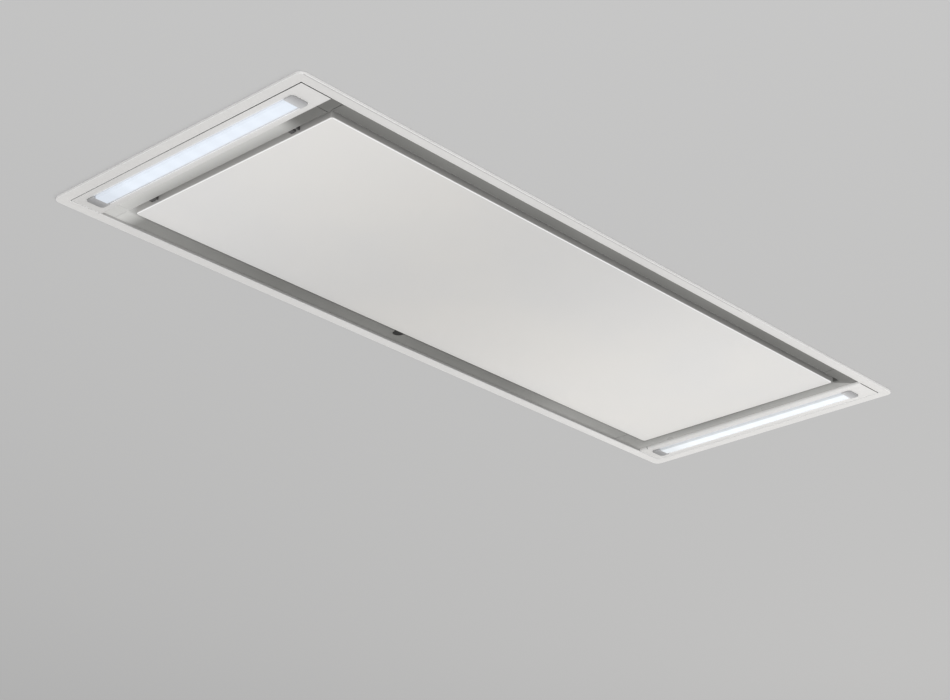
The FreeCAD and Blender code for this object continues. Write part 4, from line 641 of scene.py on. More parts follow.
def coat(name, color, second=None, rough=0.36, cloud=4.0, arris=0.0, bump=0.08, **plain):
    """Powder coat, enamel or moulded plastic."""
    values = {"Tint": opaque(color), "Second Tint": second or shaded(color, 0.95),
              "Roughness": rough, "Cloud Scale": cloud}
    return Finish(name, "Even Coat", values, bump=bump, arris=arris, **plain)


def drawn_metal(name, color, rough=0.28, lines=(900, 20, 900), metallic=1.0):
    """Drawn or brushed metal, its lines scaled along x, y and z."""
    values = {"Tint": opaque(color), "Second Tint": shaded(color, 0.86), "Roughness": rough,
              "Line Scale": lines}
    return Finish(name, "Drawn Metal", values, bump=0.06, bump_mm=0.05, Metallic=metallic)


def strip_halo(finish, lights):
    """Light of the strips on a plate or rim, as a colour."""
    low, high = extent("light_diffuser_right")
    return finish.group("Slot Halo", {
        "Halo": opaque(lights.halo), "Strip Middle": (low.x + high.x) / 2,
        "Strip Half Width": (high.x - low.x) / 2, "Strip Centre": (low.y + high.y) / 2,
        "Strip Half Length": (high.y - low.y) / 2, "Reach": lights.halo_reach})["Color"]


def both_ends(stem):
    return (stem + "_left", stem + "_right")


# ---------------------------------------------------------------- meshes


def loose_object(name, data):
    item = bpy.data.objects.new(name, data)
    bpy.context.scene.collection.objects.link(item)
    return item


def keep(name, mesh, material, body, slot, *replaced):
    """Links a finished mesh as a piece that rides on a body."""
    piece = loose_object(name, mesh)
    mesh.materials.clear()
    mesh.materials.append(material)
    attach(piece, body)
    if replaced:
        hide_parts(*replaced)


def lathe(profile, steps):
    """A closed turned shape about z from (radius, z) points, first and last on the axis."""
    shape = bmesh.new()
    turns = [math.tau * step / steps for step in range(steps)]
    rings = []
    for radius, z in profile:
        rings.append([shape.verts.new((radius * math.cos(turn), radius * math.sin(turn), z))
                      for turn in (turns if radius else turns[:1])])
    for lower, upper in zip(rings, rings[1:]):
        for step in range(steps):
            corners = [lower[step % len(lower)], lower[(step + 1) % len(lower)],
                       upper[(step + 1) % len(upper)], upper[step % len(upper)]]
            shape.faces.new(list(dict.fromkeys(corners)))
    bmesh.ops.recalc_face_normals(shape, faces=shape.faces)
    return shape


def to_mesh(shape, name, smooth=True):
    mesh = bpy.data.meshes.new(name)
    shape.to_mesh(mesh)
    shape.free()
    if smooth:
        mesh.shade_smooth()
    return mesh


def discard(*items):
    for item in items:
        bpy.data.objects.remove(item)


def solids_of(node, reach=0.02 * MM):
    """The corner points of each separate solid in a CAD node, whose triangles share corners
    within a small reach."""
    mesh = CAD_NODES[node].data
    points = np.array([vertex.co for vertex in mesh.vertices]).reshape(-1, 3)
    _, shared = np.unique(np.round(points / reach).astype(int), axis=0, return_inverse=True)
    shared = shared.reshape(-1)
    leader = list(range(int(shared.max()) + 1))

    def lead(item):
        while leader[item] != item:
            leader[item] = leader[leader[item]]
            item = leader[item]
        return item

    for face in mesh.polygons:
        corners = [lead(int(shared[index])) for index in face.vertices]
        for corner in corners[1:]:
            leader[lead(corner)] = lead(corners[0])
    owners = np.array([lead(int(item)) for item in shared])
    return [points[owners == owner] for owner in np.unique(owners)]


# ---------------------------------------------------------------- geometry nodes


def end_tree(bench, shape, material, out):
    """Realize Instances and Set Material, which end every tree."""
    real = bench.add("GeometryNodeRealizeInstances", {0: shape})
    bench.feed(out, bench.add("GeometryNodeSetMaterial", {"Geometry": real, "Material": material}))


def seated_tree():
    """Sets a piece, and a tail of each seat's own length, on every seat."""
    name = "Seated Pieces"
    if name in bpy.data.node_groups:
        return bpy.data.node_groups[name]
    bench, given, made = new_group(name, "GeometryNodeTree", {
        "Seats": "Geometry", "Piece": "Object", "Tail": "Object", "Seed": 0,
        "Finish": "Material"}, {"Geometry": "Geometry"})
    facing = bench.add("GeometryNodeInputNamedAttribute", {"Name": "facing"},
                       data_type="FLOAT_VECTOR")
    reach = bench.add("GeometryNodeInputNamedAttribute", {"Name": "reach"})
    points = bench.add("GeometryNodeMeshToPoints", {"Mesh": given["Seats"]})
    stand = bench.add("FunctionNodeAlignRotationToVector", {"Vector": facing}, axis="Z")
    turn = bench.add("FunctionNodeRandomValue", {"Min": (0, 0, 0), "Max": (0, 0, math.tau),
                                                 "Seed": given["Seed"]}, data_type="FLOAT_VECTOR")
    turn = bench.add("FunctionNodeEulerToRotation", {"Euler": turn})
    spun = bench.add("FunctionNodeRotateRotation", {"Rotation": stand, "Rotate By": turn},
                     rotation_space="LOCAL")
    stretch = bench.add("ShaderNodeCombineXYZ", {0: 1.0, 1: 1.0, 2: reach})
    join = bench.add("GeometryNodeJoinGeometry")
    for source, rotation, scale in (("Tail", stand, stretch), ("Piece", spun, (1, 1, 1))):
        shape = bench.add("GeometryNodeObjectInfo", {"Object": given[source]}).outputs["Geometry"]
        placed = bench.add("GeometryNodeInstanceOnPoints", {
            "Points": points, "Instance": shape, "Rotation": rotation, "Scale": scale})
        bench.feed(join.inputs[0], placed)
    end_tree(bench, join, given["Finish"], made[0])
    return bpy.data.node_groups[name]


def net_tree():
    """Expanded mesh: a diamond net cut to a rectangle with a notch, folded into pleats, in two
    layers whose pleats cross."""
    name = "Pleated Net"
    if name in bpy.data.node_groups:
        return bpy.data.node_groups[name]
    bench, given, made = new_group(name, "GeometryNodeTree", {
        "Seats": "Geometry", "Low Corner": (0, 0, 0), "High Corner": (0.3, 0.2, 0),
        "Notch Middle": 0.1, "Notch Half": 0.03, "Notch Depth": 0.0, "Cell Long": 0.01,
        "Cell Short": 0.005, "Strand": 0.0004, "Slope": 0.006, "Rise": 0.005,
        "Finish": "Material"}, {"Geometry": "Geometry"})
    low, high = [bench.parts(given[corner]) for corner in ("Low Corner", "High Corner")]
    both = bench.vector("ADD", given["Low Corner"], given["High Corner"])
    middle = bench.add("ShaderNodeVectorMath", {0: both, "Scale": 0.5}, operation="SCALE")
    # A unit grid turned by 45 degrees has its diagonals along x and y, root 2 long.
    across = bench.plus(bench.over(bench.minus(high[0], low[0]), given["Cell Long"]),
                        bench.over(bench.minus(high[1], low[1]), given["Cell Short"]))
    count = bench.math("CEIL", bench.plus(across, 4.0))
    size = bench.minus(count, 1.0)
    grid = bench.add("GeometryNodeMeshGrid", {"Size X": size, "Size Y": size,
                                              "Vertices X": count, "Vertices Y": count})
    root = 1 / math.sqrt(2)
    spread = bench.add("ShaderNodeCombineXYZ", {0: bench.times(given["Cell Long"], root),
                                                1: bench.times(given["Cell Short"], root), 2: 1.0})
    turned = bench.add("GeometryNodeTransform", {"Geometry": grid,
                                                 "Rotation": (0, 0, math.radians(45))})
    net = bench.add("GeometryNodeTransform", {"Geometry": turned, "Translation": middle,
                                              "Scale": spread})
    x, y, _ = bench.parts(bench.add("GeometryNodeInputPosition"))
    in_notch = bench.below(bench.distance(x, given["Notch Middle"]), given["Notch Half"])
    gone = bench.times(in_notch, bench.below(y, given["Notch Depth"]))
    for test in (bench.below(x, low[0]), bench.above(x, high[0]),
                 bench.below(y, low[1]), bench.above(y, high[1])):
        gone = bench.most(gone, test)
    cut = bench.add("GeometryNodeDeleteGeometry", {
        "Geometry": net, "Selection": bench.above(gone, 0.5)}, domain="POINT")
    join = bench.add("GeometryNodeJoinGeometry")
    for way, origin in ((x, low[0]), (y, low[1])):
        fold = bench.math("PINGPONG", bench.minus(way, origin), given["Slope"])
        lift = bench.times(bench.over(fold, given["Slope"]), given["Rise"])
        offset = bench.add("ShaderNodeCombineXYZ", {0: 0.0, 1: 0.0, 2: lift})
        folded = bench.add("GeometryNodeSetPosition", {"Geometry": cut, "Offset": offset})
        lines = bench.add("GeometryNodeMeshToCurve", {"Mesh": folded})
        ring = bench.add("GeometryNodeCurvePrimitiveCircle", {"Resolution": 4,
                                                              "Radius": given["Strand"]})
        strands = bench.add("GeometryNodeCurveToMesh", {"Curve": lines, "Profile Curve": ring,
                                                        "Fill Caps": True})
        bench.feed(join.inputs[0], strands)
    end_tree(bench, join, given["Finish"], made[0])
    return bpy.data.node_groups[name]


def evaluated(item, name):
    """An object's mesh with its modifiers in it."""
    bpy.context.view_layer.update()
    graph = bpy.context.evaluated_depsgraph_get()
    mesh = bpy.data.meshes.new_from_object(item.evaluated_get(graph), depsgraph=graph)
    item.modifiers.clear()
    mesh.name = name
    return mesh


def grown(name, tree, values, seats=None):
    """The plain mesh that a tree makes from its inputs."""
    holder = loose_object(name, seats or bpy.data.meshes.new(name + "_seats"))
    modifier = holder.modifiers.new(name, "NODES")
    modifier.node_group = tree
    for item in tree.interface.items_tree:
        if item.in_out == "INPUT" and item.name in values:
            modifier[item.identifier] = values[item.name]
    mesh = evaluated(holder, name)
    discard(holder)
    return mesh


def seat_mesh(name, seats):
    """Points with the way each faces and its tail's length, from (place, facing, reach)."""
    places, ways, reaches = zip(*seats)
    mesh = bpy.data.meshes.new(name)
    mesh.from_pydata(places, [], [])
    facing = mesh.attributes.new("facing", "FLOAT_VECTOR", "POINT")
    facing.data.foreach_set("vector", np.array(ways, np.float32).ravel())
    reach = mesh.attributes.new("reach", "FLOAT", "POINT")
    reach.data.foreach_set("value", np.array(reaches, np.float32))
    return mesh


# ---------------------------------------------------------------- screws and welds

HEAD_PROFILE = [(0, 0), (0.97, 0), (1.0, 0.1), (1.0, 0.42), (0.93, 0.68), (0.78, 0.87),
                (0.5, 0.97), (0, 1)]    # of the head's radius and height
RECESS_LONG, RECESS_WIDE = 1.16, 0.24   # arms of the cross, of the head's radius
RECESS_LIFT = 0.98                      # middle of the cutter, of the head's height
WIDE = 0.8                              # a point so far out is on the head, of its radius
TIP = 0.93                              # where a shank's tip begins, of its length
WELD_PROFILE = [(0, -0.2), (1.0, -0.2), (1.0, 0.04), (0.86, 0.16), (0.66, 0.12), (0.4, 0.04),
                (0, 0.03)]              # of the mark's radius, and in millimetres
WELD_INSET = 0.008                      # from a corner to the row of welds beside it


def screw_seats(node, head, head_height):
    """Where each screw's head sits, the way it faces and how long its shank is, read from the
    CAD screws: the head is the end that is wide."""
    seats = []
    for points in solids_of(node):
        low, high = points.min(0), points.max(0)
        size = high - low
        axis = int(np.argmax(np.abs(size - 2 * head)))
        middle = (low + high) / 2
        sides = [other for other in range(3) if other != axis]
        away = np.linalg.norm(points[:, sides] - middle[sides], axis=1)
        wide = points[away > WIDE * head][:, axis]
        sign = 1 if wide.mean() > middle[axis] else -1
        facing = np.zeros(3)
        facing[axis] = sign
        seat = middle.copy()
        seat[axis] = (high[axis] if sign > 0 else low[axis]) - sign * head_height
        seats.append((tuple(seat), tuple(facing), float(size[axis] - head_height)))
    return seats


def screw_head(radius, height):
    """A pan head with a cross recess."""
    dome = lathe([(r * radius, z * height) for r, z in HEAD_PROFILE], 28)
    head = loose_object("head", to_mesh(dome, "head", smooth=False))
    cross = bmesh.new()
    for turn in (0, math.pi / 2):
        arm = bmesh.ops.create_cube(cross, size=1.0)["verts"]
        shape = Matrix.Diagonal((radius * RECESS_LONG, radius * RECESS_WIDE, height, 1.0))
        lift = Matrix.Translation((0, 0, height * RECESS_LIFT))
        bmesh.ops.transform(cross, verts=arm, matrix=lift @ Matrix.Rotation(turn, 4, "Z") @ shape)
    cutter = loose_object("cross", to_mesh(cross, "cross", smooth=False))
    sink = head.modifiers.new("recess", "BOOLEAN")
    sink.operation = "DIFFERENCE"
    sink.solver = "EXACT"
    sink.use_self = True
    sink.object = cutter
    mesh = evaluated(head, "screw_head")
    discard(cutter, head)
    return mesh


def screw_shank(radius):
    """A shank one metre long under its head, which each seat's reach shortens."""
    return to_mesh(lathe([(0, 0.0), (radius, 0.0), (radius, -TIP), (0, -1.0)], 12), "screw_shank")


def corner_welds(node, low, high, pitch):
    """Seats in upright rows beside a sheet box's four corners, on all four walls."""
    lower, upper = extent(node)
    count = int((high - low) / pitch) + 1
    seats = []
    for step in range(count):
        z = low + step * (high - low) / max(count - 1, 1)
        for side, x in ((-1, lower.x), (1, upper.x)):
            for wall, y in ((-1, lower.y), (1, upper.y)):
                seats.append(((x - side * WELD_INSET, y, z), (0, wall, 0), 1.0))
                seats.append(((x, y - wall * WELD_INSET, z), (side, 0, 0), 1.0))
    return seats


def weld_mark(radius):
    """A spot weld's shallow dished mark, with a raised rim."""
    return to_mesh(lathe([(r * radius, z * MM) for r, z in WELD_PROFILE], 14), "weld_mark")


# ---------------------------------------------------------------- operators


class HoodOperator(bpy.types.Operator):
    bl_options = {"REGISTER", "UNDO"}


class HOOD_OT_coat_frame(HoodOperator):
    """White powder coat on the trim frame and the two light plates, with painted light, shade and
    highlights
    """

    bl_idname = "hood.coat_frame"
    bl_label = "Coat Trim Frame"

    def execute(self, context):
        self.coat_trim(context.scene.hood_coat)
        self.coat_plates(context.scene.hood_coat, context.scene.hood_lights)
        return {"FINISHED"}

    @staticmethod
    def coat_trim(look):
        white = look.frame_white
        trim = coat("frame_powder_coat", white, rough=0.34, cloud=5.0, arris=look.arris)
        # Painted light: paler from the middle towards the right end, and a painted highlight along
        # the arrises
        trim.scale("Slope Shade")
        trim.painted_arris_highlight(look)
        corner = extent("trim_frame")[0]
        low, high = extent("light_plate_right")
        # Painted shade on the frame's inner folds between the plates, where they stand in the gaps
        fold = trim.box((-low.x, low.y - FRAME_FOLD, low.z + FRAME_WALL[0]),
                        (low.x, high.y + FRAME_FOLD, low.z + FRAME_WALL[1]))
        trim.overlay(fold, shaded(white, look.painted_fold_shade))
        # Painted shade: a dark line just behind the frame's front edge, along most of its length
        painted_shade_line = trim.box((corner.x + SHADE_LINE_START, corner.y + SHADE_LINE[0], BELOW[0]),
                          (SHADE_LINE_END, corner.y + SHADE_LINE[1], BELOW[1]))
        trim.overlay(painted_shade_line, shaded(white, look.painted_rim_shade))
        trim.dress("trim_frame")

    @staticmethod
    def coat_plates(look, lights):
        white = look.frame_white
        plate = coat("light_plate_coat", white, rough=0.3, cloud=9.0, arris=look.arris / 2)
        low, high = extent("light_plate_right")
        # Painted light and shade: paler towards the right end, a little darker towards the back,
        # and a painted highlight along the arrises
        plate.scale("Slope Shade")
        plate.scale("Slope Shade", {"Way": (0, 1, 0), "From": low.y, "To": high.y,
                                    "Low": PLATE_FRONT, "High": PLATE_BACK})
        plate.painted_arris_highlight(look)
        slot_end = extent("light_caps_right")[1].y
        # Painted shade in the seams: dark on the plates' front walls and the left plate's outer
        # wall, fading towards the back
        dark = shaded(white, look.painted_seam_shade)
        fade = plate.group("Slope Shade", {"Way": (0, 1, 0), "From": low.y, "To": SEAM_FADE,
                                           "Low": 1.0, "High": SEAM_FAINT})["Value"]
        front = plate.box((-1, low.y - MM, BELOW[0]), (1, low.y + SEAM, BELOW[1]))
        left = plate.box((-high.x - MM, -1, BELOW[0]), (SEAM - high.x, 1, BELOW[1]))
        plate.overlay(plate.bench.times(fade, plate.bench.most(front, left)), dark)
        # Painted shade: a dark line at each slot's back end
        plate.overlay(plate.box((-1, slot_end - SLOT_SEAM, low.z + SLOT_WALL[0]),
                                (1, slot_end + SLOT_SEAM, low.z + SLOT_WALL[1])), dark)
        plate.glow(strip_halo(plate, lights))
        plate.dress(*both_ends("light_plate"))


class HOOD_OT_coat_channels(HoodOperator):
    """Grey coat on the recessed channels, with painted shade along the long ones and the strips'
    glow on their ends
    """

    bl_idname = "hood.coat_channels"
    bl_label = "Coat Channels"

    def execute(self, context):
        look, lights = context.scene.hood_coat, context.scene.hood_lights
        grey = coat("channel_coat", look.channel_grey, shaded(look.channel_grey, 0.86), rough=0.3,
                    cloud=6.0, arris=look.arris / 2)
        inner = extent("channel_left")[1]
        # Painted shade: the front channel darker towards its lip, the back one evenly paler
        grey.scale("Cross Shade", {"Side": -inner.x})
        grey.glow(grey.group("Strip Glow", {
            "Left Glow": opaque(lights.glow_left), "Right Glow": opaque(lights.glow_right),
            "Plate Edge": extent("light_plate_right")[0].x, "Lip": -inner.x, "Turn": inner.y,
            "Mitre": MITRE})["Color"])
        grey.dress("channel_front", "channel_back", *both_ends("channel"))
        return {"FINISHED"}


class HOOD_OT_coat_panel(HoodOperator):
    """Warm white coat on the swinging panel, with painted shade and highlights, a plainer one on
    its liner, and its steel lugs
    """

    bl_idname = "hood.coat_panel"
    bl_label = "Coat Panel"

    def execute(self, context):
        look = context.scene.hood_coat
        white = look.panel_white
        cooler = opaque(channel * part for channel, part in zip(white, PANEL_COOLER))
        skin = coat("panel_powder_coat", white, cooler, rough=0.32, cloud=3.2, arris=look.arris)
        # Painted shade, a little darker left of the middle, and a painted highlight along the
        # arrises
        skin.scale("Broad Shade")
        skin.painted_arris_highlight(look)
        low, high = extent("suction_panel")
        fold, face = [low.z + rise for rise in PANEL_FOLD], [low.z + rise for rise in PANEL_FACE]
        # Painted shade on the panel's walls in the channels, lighter on the left wall, which faces
        # a strip
        walls = skin.box((low.x + MM, low.y - MM, fold[0]), (high.x + MM, high.y + MM, fold[1]))
        skin.overlay(walls, shaded(white, look.painted_fold_shade))
        wall = skin.box((low.x - MM, low.y - MM, fold[0]), (low.x + MM, high.y + MM, fold[1]))
        skin.overlay(wall, shaded(white, LEFT_WALL_SHADE))
        # Painted highlight: a bright line along the panel's front and left edges
        for far in ((high.x, low.y + EDGE_LINE), (low.x + EDGE_LINE, high.y)):
            line = skin.box((low.x - MM, low.y - MM, face[1]), (*far, face[0]))
            skin.overlay(line, bright(look))
        skin.dress("suction_panel")
        coat("panel_liner_coat", look.frame_white, rough=0.4, cloud=7.0,
             arris=look.arris).dress("panel_liner")
        drawn_metal("lug_steel", (0.55, 0.55, 0.56), rough=0.34).dress("panel_lugs")
        return {"FINISHED"}


class HOOD_OT_finish_hinges(HoodOperator):
    """Dark moulded hinge blocks and clips, bright pins and the rubber bumper"""

    bl_idname = "hood.finish_hinges"
    bl_label = "Finish Hinges"

    def execute(self, context):
        dark = coat("hinge_nylon", (0.075, 0.074, 0.074), rough=0.45, bump=0.2)
        dark.dress("hinge_blocks", "catch_clips")
        rubber = coat("bumper_rubber", (0.028, 0.027, 0.027), rough=0.7, bump=0.25)
        rubber.dress("panel_bumper")
        pins = drawn_metal("pin_steel", (0.82, 0.82, 0.83), rough=0.12, lines=(40, 900, 900))
        pins.dress("hinge_pins", "catch_pins", "flap_rods", "fan_shaft", "shaft_nut")
        return {"FINISHED"}


class HOOD_OT_light_strips(HoodOperator):
    """Lit frosted strips with their end caps, profiles and boards"""

    bl_idname = "hood.light_strips"
    bl_label = "Light Strips"

    def execute(self, context):
        lights = context.scene.hood_lights
        low, high = extent("light_diffuser_left")
        centre, half = (low.y + high.y) / 2, (high.y - low.y) / 2
        frosted = coat("frosted_strip", (0.10, 0.10, 0.105), rough=0.5)
        frosted.glow(frosted.group("Chip Light", {
            "Left Lit": opaque(lights.lit_left), "Right Lit": opaque(lights.lit_right),
            "Chip Pitch": lights.chip_pitch, "Middle": centre, "Half Length": half,
            "Right Inner Edge": -high.x})["Color"])
        frosted.dress(*both_ends("light_diffuser"))
        cap = coat("strip_cap_silver", lights.cap_silver, rough=0.34, cloud=40.0, Metallic=0.15)
        # Painted light and shade: pale beside the lit strip, darker towards the slot's end and on
        # the back caps
        cap.scale("Cap Shade", {"Centre": centre, "Strip End": high.y - centre,
                                "Cap End": extent("light_caps_left")[1].y - centre})
        cap.dress(*both_ends("light_caps"))
        profile = drawn_metal("strip_profile_metal", (0.74, 0.75, 0.76), rough=0.3)
        profile.glow(profile.bench.vector("ADD", strip_halo(profile, lights),
                                          tuple(lights.rim_glow)))
        profile.dress(*both_ends("light_profile"))
        coat("board_lacquer", (0.62, 0.64, 0.62), rough=0.4).dress(*both_ends("led_board"))
        return {"FINISHED"}


class HOOD_OT_plate_casing(HoodOperator):
    """Galvanised sheet of the casing, boxes, tray, brackets and light housings"""

    bl_idname = "hood.plate_casing"
    bl_label = "Plate Casing"

    def execute(self, context):
        look = context.scene.hood_coat
        values = {"Tint": opaque(look.zinc), "Dark Tint": opaque(look.zinc_dark)}
        sheet = Finish("galvanised_sheet", "Zinc Spangle", values, bump=0.12, bump_mm=0.06,
                       arris=look.arris, Metallic=0.9)
        sheet.dress("lower_casing", "motor_box", "box_flange", "filter_tray", "clamp_brackets",
                    "blower_brackets", "motor_bracket", "capacitor_clip",
                    *both_ends("light_housing"))
        return {"FINISHED"}


class HOOD_OT_weld_casing(HoodOperator):
    """Rows of spot welds beside the corners of the casing and the motor box"""

    bl_idname = "hood.weld_casing"
    bl_label = "Weld Casing"

    def execute(self, context):
        screws = context.scene.hood_screws
        seats = [seat for node, (first, last) in WELD_ROWS.items()
                 for seat in corner_welds(node, first, last, screws.weld_pitch)]
        mark = loose_object("weld_mark", weld_mark(screws.weld))
        burnt = drawn_metal("weld_scale", (0.36, 0.37, 0.39), rough=0.5, lines=(500, 500, 500),
                            metallic=0.7).material
        mesh = grown("spot_welds", seated_tree(), {"Piece": mark, "Finish": burnt},
                     seat_mesh("welds", seats))
        discard(mark)
        keep("spot_welds", mesh, burnt, "casing", "galvanised_steel")
        return {"FINISHED"}


class HOOD_OT_knit_filters(HoodOperator):
    """Aluminium filter frames, their pleated mesh and their latches"""

    bl_idname = "hood.knit_filters"
    bl_label = "Knit Filters"

    def execute(self, context):
        sizes = context.scene.hood_filters
        drawn_metal("filter_rim_aluminium", (0.80, 0.81, 0.82), rough=0.34, lines=(30, 900, 900),
                    metallic=0.5).dress(*both_ends("filter_frame"))
        net = drawn_metal("filter_net_aluminium", (0.86, 0.87, 0.88), rough=0.36,
                          lines=(200, 200, 200), metallic=0.3).material
        coat("latch_plastic", (0.04, 0.04, 0.042), rough=0.42,
             bump=0.2).dress(*both_ends("filter_latch"))
        for side in ("left", "right"):
            margin = Vector((sizes.strand,) * 3)
            low, high = extent("filter_mesh_" + side)
            latch_low, latch_high = extent("filter_latch_" + side)
            low, high = low + margin, high - margin
            values = {"Low Corner": tuple(low), "High Corner": (high.x, high.y, low.z),
                      "Notch Middle": (latch_low.x + latch_high.x) / 2,
                      "Notch Half": LATCH_PAD + sizes.strand, "Notch Depth": LATCH_END,
                      "Cell Long": sizes.cell_long, "Cell Short": sizes.cell_short,
                      "Strand": sizes.strand, "Slope": sizes.slope, "Rise": sizes.pleat_rise,
                      "Finish": net}
            name = "filter_net_" + side
            keep(name, grown(name, net_tree(), values), net, "casing", "mesh_aluminium",
                 "filter_mesh_" + side)
        return {"FINISHED"}


class HOOD_OT_finish_blower(HoodOperator):
    """Moulded scroll and impeller, painted motor and its capacitor"""

    bl_idname = "hood.finish_blower"
    bl_label = "Finish Blower"

    def execute(self, context):
        moulded = coat("scroll_plastic", (0.055, 0.057, 0.06), rough=0.5, bump=0.25)
        moulded.dress(*both_ends("scroll"))
        coat("impeller_plastic", (0.09, 0.095, 0.10), rough=0.4, bump=0.15).dress("impeller")
        coat("motor_enamel", (0.30, 0.31, 0.32), rough=0.35, Metallic=0.6).dress("motor")
        coat("capacitor_shell", (0.72, 0.72, 0.70), rough=0.3).dress("capacitor")
        return {"FINISHED"}


class HOOD_OT_finish_outlet(HoodOperator):
    """Black moulded outlet collar with its two flaps"""

    bl_idname = "hood.finish_outlet"
    bl_label = "Finish Outlet"

    def execute(self, context):
        arris = context.scene.hood_coat.arris
        collar = coat("collar_plastic", (0.030, 0.031, 0.033), (0.040, 0.041, 0.043, 1),
                      rough=0.46, bump=0.3, arris=arris)
        collar.dress("outlet_spigot")
        flap = coat("flap_plastic", (0.045, 0.046, 0.05), rough=0.42, bump=0.2, arris=arris / 2)
        flap.dress("outlet_flap_front", "outlet_flap_back")
        return {"FINISHED"}


class HOOD_OT_finish_electrics(HoodOperator):
    """Control box, lid, gland, lamp driver and what is in the box"""

    bl_idname = "hood.finish_electrics"
    bl_label = "Finish Electrics"

    def execute(self, context):
        arris = context.scene.hood_coat.arris
        for name, color, rough, bump, nodes in (
                ("control_box_plastic", (0.24, 0.245, 0.25), 0.5, 0.3, ("control_box",)),
                ("control_lid_plastic", (0.29, 0.295, 0.30), 0.5, 0.3, ("control_box_lid",)),
                ("gland_nylon", (0.05, 0.05, 0.053), 0.45, 0.2, ("cable_gland", "terminal_block")),
                ("driver_plastic", (0.66, 0.66, 0.64), 0.42, 0.2, ("led_driver",))):
            coat(name, color, rough=rough, bump=bump, arris=arris).dress(*nodes)
        coat("control_board_lacquer", (0.03, 0.14, 0.06), rough=0.3).dress("control_board")
        return {"FINISHED"}


class HOOD_OT_drive_screws(HoodOperator):
    """Pan-head screws with a cross recess, in the places of the plain ones"""

    bl_idname = "hood.drive_screws"
    bl_label = "Drive Screws"

    def execute(self, context):
        sizes = context.scene.hood_screws
        nodes = ("casing_screws", "trim_screws", "lid_screws", "blower_screws")
        seats = [seat for node in nodes
                 for seat in screw_seats(node, sizes.head, sizes.head_height)]
        zinc = drawn_metal("screw_zinc", (0.70, 0.71, 0.73), rough=0.24,
                           lines=(300, 300, 300)).material
        head = loose_object("screw_head", screw_head(sizes.head, sizes.head_height))
        shank = loose_object("screw_shank", screw_shank(sizes.shank))
        values = {"Piece": head, "Tail": shank, "Finish": zinc, "Seed": sizes.seed}
        mesh = grown("pan_head_screws", seated_tree(), values, seat_mesh("screw_seats", seats))
        discard(head, shank)
        keep("pan_head_screws", mesh, zinc, "casing", "zinc_screws", *nodes)
        return {"FINISHED"}


# ---------------------------------------------------------------- stage

SOFFIT_HALF, FLOOR_HALF = 14.0, 60.0
CUT_OUT = (0.4245, 0.1515)    # half of the soffit's hole, which the flange covers
SOFFIT_HEIGHT = 0.0001        # over the flange's upper face
FLOOR_DROP = 0.001            # under the lowest point of the hood
GROUND_SEEN = 0.9             # strength of the surround where a ray sees it
WHITE, WARM = (1, 1, 1), (1.0, 0.975, 0.94)
LAMPS = (                     # name, size, place, target and colour
    ("under_light", 1.8, (-1.0, -1.2, -1.9), (0, 0, 0), WHITE),
    ("under_fill", 1.6, (1.6, 0.2, -1.5), (0.2, 0, 0), WARM),
    ("top_light", 1.4, (-1.5, -1.9, 2.4), (0, 0, 0.1), WHITE),
    ("top_fill", 1.6, (2.0, 1.6, 1.6), (0, 0, 0.1), WHITE),
)
CAMERA_PLACE = (-1.3652, -1.2045, -0.8685)
CAMERA_AHEAD = (0.67151508, 0.61697621, 0.41037525)
CAMERA_ABOVE = (-0.30664866, -0.27278315, 0.9118969)
SENSOR = 36.0                 # millimetres
CLIP = (0.01, 200.0)


def seen_directly(bench):
    """1 for the rays that show a surface as it is: camera, glossy and transmission."""
    path = bench.add("ShaderNodeLightPath").outputs
    return bench.most(path["Is Camera Ray"],
                      bench.most(path["Is Glossy Ray"], path["Is Transmission Ray"]))


def one_sided(name, color):
    """Plain matt ground that only its front shows, and that lets lamplight through."""
    material = bpy.data.materials.new(name)
    bench = cleared(material)
    matt = bench.add("ShaderNodeBsdfDiffuse", {"Color": opaque(color)})
    clear = bench.add("ShaderNodeBsdfTransparent")
    behind = bench.add("ShaderNodeNewGeometry").outputs["Backfacing"]
    shown = bench.times(seen_directly(bench), bench.minus(1.0, behind))
    mix = bench.add("ShaderNodeMixShader", {0: shown, 1: clear, 2: matt})
    bench.add("ShaderNodeOutputMaterial", {"Surface": mix})
    return material


def ground_sheet(name, half, z, upward, hole=None):
    """A flat square facing up or down, with a rectangular hole in its middle if one is given."""
    def corners(across, along):
        return [(-across, -along, z), (across, -along, z), (across, along, z), (-across, along, z)]

    points, faces = corners(half, half), [(0, 1, 2, 3)]
    if hole:
        points += corners(*hole)
        faces = [(side, (side + 1) % 4, 4 + (side + 1) % 4, 4 + side) for side in range(4)]
    if not upward:
        faces = [tuple(reversed(face)) for face in faces]
    mesh = bpy.data.meshes.new(name)
    mesh.from_pydata(points, [], faces)
    return loose_object(name, mesh)


def lamp(name, power, size, place, target, color):
    """A square lamp that looks at its target."""
    data = bpy.data.lights.new(name, "AREA")
    data.shape = "SQUARE"
    data.size = size
    data.energy = power
    data.color = color
    item = loose_object(name, data)
    item.location = place
    item.rotation_euler = (Vector(target) - Vector(place)).to_track_quat("-Z", "Y").to_euler()


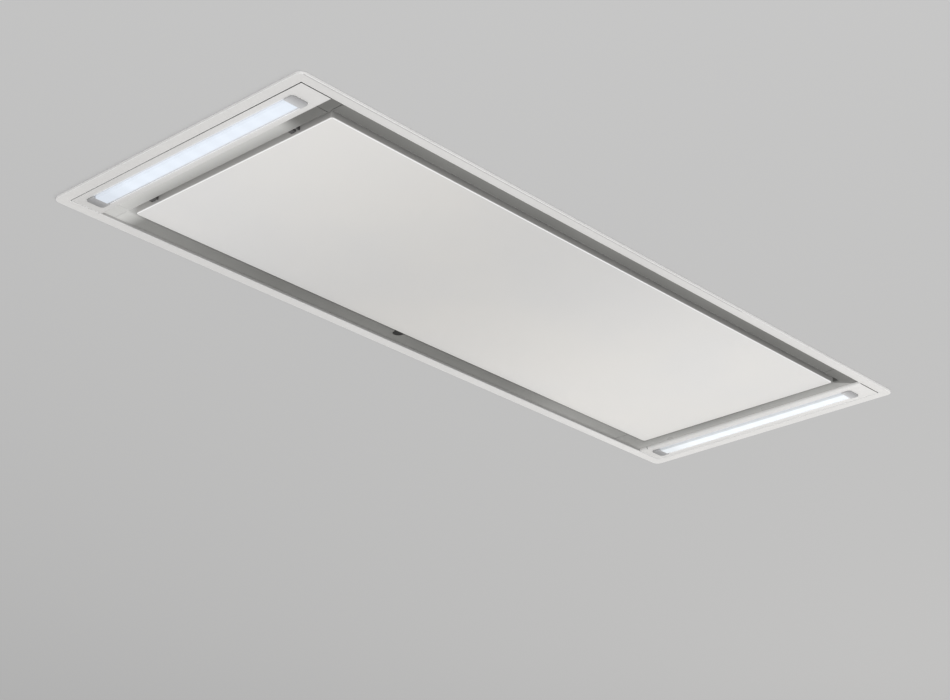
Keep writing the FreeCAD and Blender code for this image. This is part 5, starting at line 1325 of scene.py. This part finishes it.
class HOOD_OT_set_stage(HoodOperator):
    """Soffit, floor, lamps, surround and camera"""

    bl_idname = "hood.set_stage"
    bl_label = "Set Stage"

    def execute(self, context):
        stage = context.scene.hood_stage
        soffit = ground_sheet("soffit", SOFFIT_HALF, SOFFIT_HEIGHT, upward=False, hole=CUT_OUT)
        soffit.data.materials.append(one_sided("soffit_board", stage.soffit))
        ground = ground_sheet("floor", FLOOR_HALF, CAD_BOX[0][2] - FLOOR_DROP, upward=True)
        ground.data.materials.append(one_sided("floor_ground", stage.floor))
        for name, *rest in LAMPS:
            lamp(name, getattr(stage, name), *rest)
        self.light_surround(context, stage)
        self.place_camera(context, stage)
        context.scene.view_settings.view_transform = "Standard"
        return {"FINISHED"}

    @staticmethod
    def light_surround(context, stage):
        world = bpy.data.worlds.new("studio")
        context.scene.world = world
        bench = cleared(world)
        level = bench.pick(seen_directly(bench), stage.surround, GROUND_SEEN)
        even = bench.add("ShaderNodeBackground", {"Color": (1, 1, 1, 1), "Strength": level})
        bench.add("ShaderNodeOutputWorld", {"Surface": even})

    @staticmethod
    def place_camera(context, stage):
        ahead, above = Vector(CAMERA_AHEAD), Vector(CAMERA_ABOVE)
        beside = ahead.cross(above).normalized()
        data = bpy.data.cameras.new("camera")
        data.sensor_width = SENSOR
        data.lens = stage.lens
        data.clip_start, data.clip_end = CLIP
        camera = loose_object("camera", data)
        turn = Matrix((beside, beside.cross(ahead).normalized(), -ahead)).transposed().to_4x4()
        camera.matrix_world = Matrix.Translation(CAMERA_PLACE) @ turn
        context.scene.camera = camera


# ---------------------------------------------------------------- add-on

STEPS = (HOOD_OT_coat_frame, HOOD_OT_coat_channels, HOOD_OT_coat_panel, HOOD_OT_finish_hinges,
         HOOD_OT_light_strips, HOOD_OT_plate_casing, HOOD_OT_weld_casing, HOOD_OT_knit_filters,
         HOOD_OT_finish_blower, HOOD_OT_finish_outlet, HOOD_OT_finish_electrics,
         HOOD_OT_drive_screws, HOOD_OT_set_stage)


class HOOD_PT_dresser(bpy.types.Panel):
    """Lists the hood's settings and steps"""

    bl_label = "Ceiling Range Hood"
    bl_idname = "HOOD_PT_dresser"
    bl_space_type = "VIEW_3D"
    bl_region_type = "UI"
    bl_category = "Range Hood"

    def draw(self, context):
        for name, group in SETTINGS.items():
            box = self.layout.box()
            box.label(text=group.__doc__)
            for key in group.__annotations__:
                box.prop(getattr(context.scene, name), key)
        for step in STEPS:
            self.layout.operator(step.bl_idname)


CLASSES = (*SETTINGS.values(), *STEPS, HOOD_PT_dresser)


def register():
    for item in CLASSES:
        bpy.utils.register_class(item)
    for name, group in SETTINGS.items():
        setattr(bpy.types.Scene, name, PointerProperty(type=group))


def unregister():
    for name in SETTINGS:
        delattr(bpy.types.Scene, name)
    for item in reversed(CLASSES):
        bpy.utils.unregister_class(item)


def main():
    register()
    for step in STEPS:
        area, name = step.bl_idname.split(".")
        getattr(getattr(bpy.ops, area), name)()


if __name__ == "__main__":
    main()
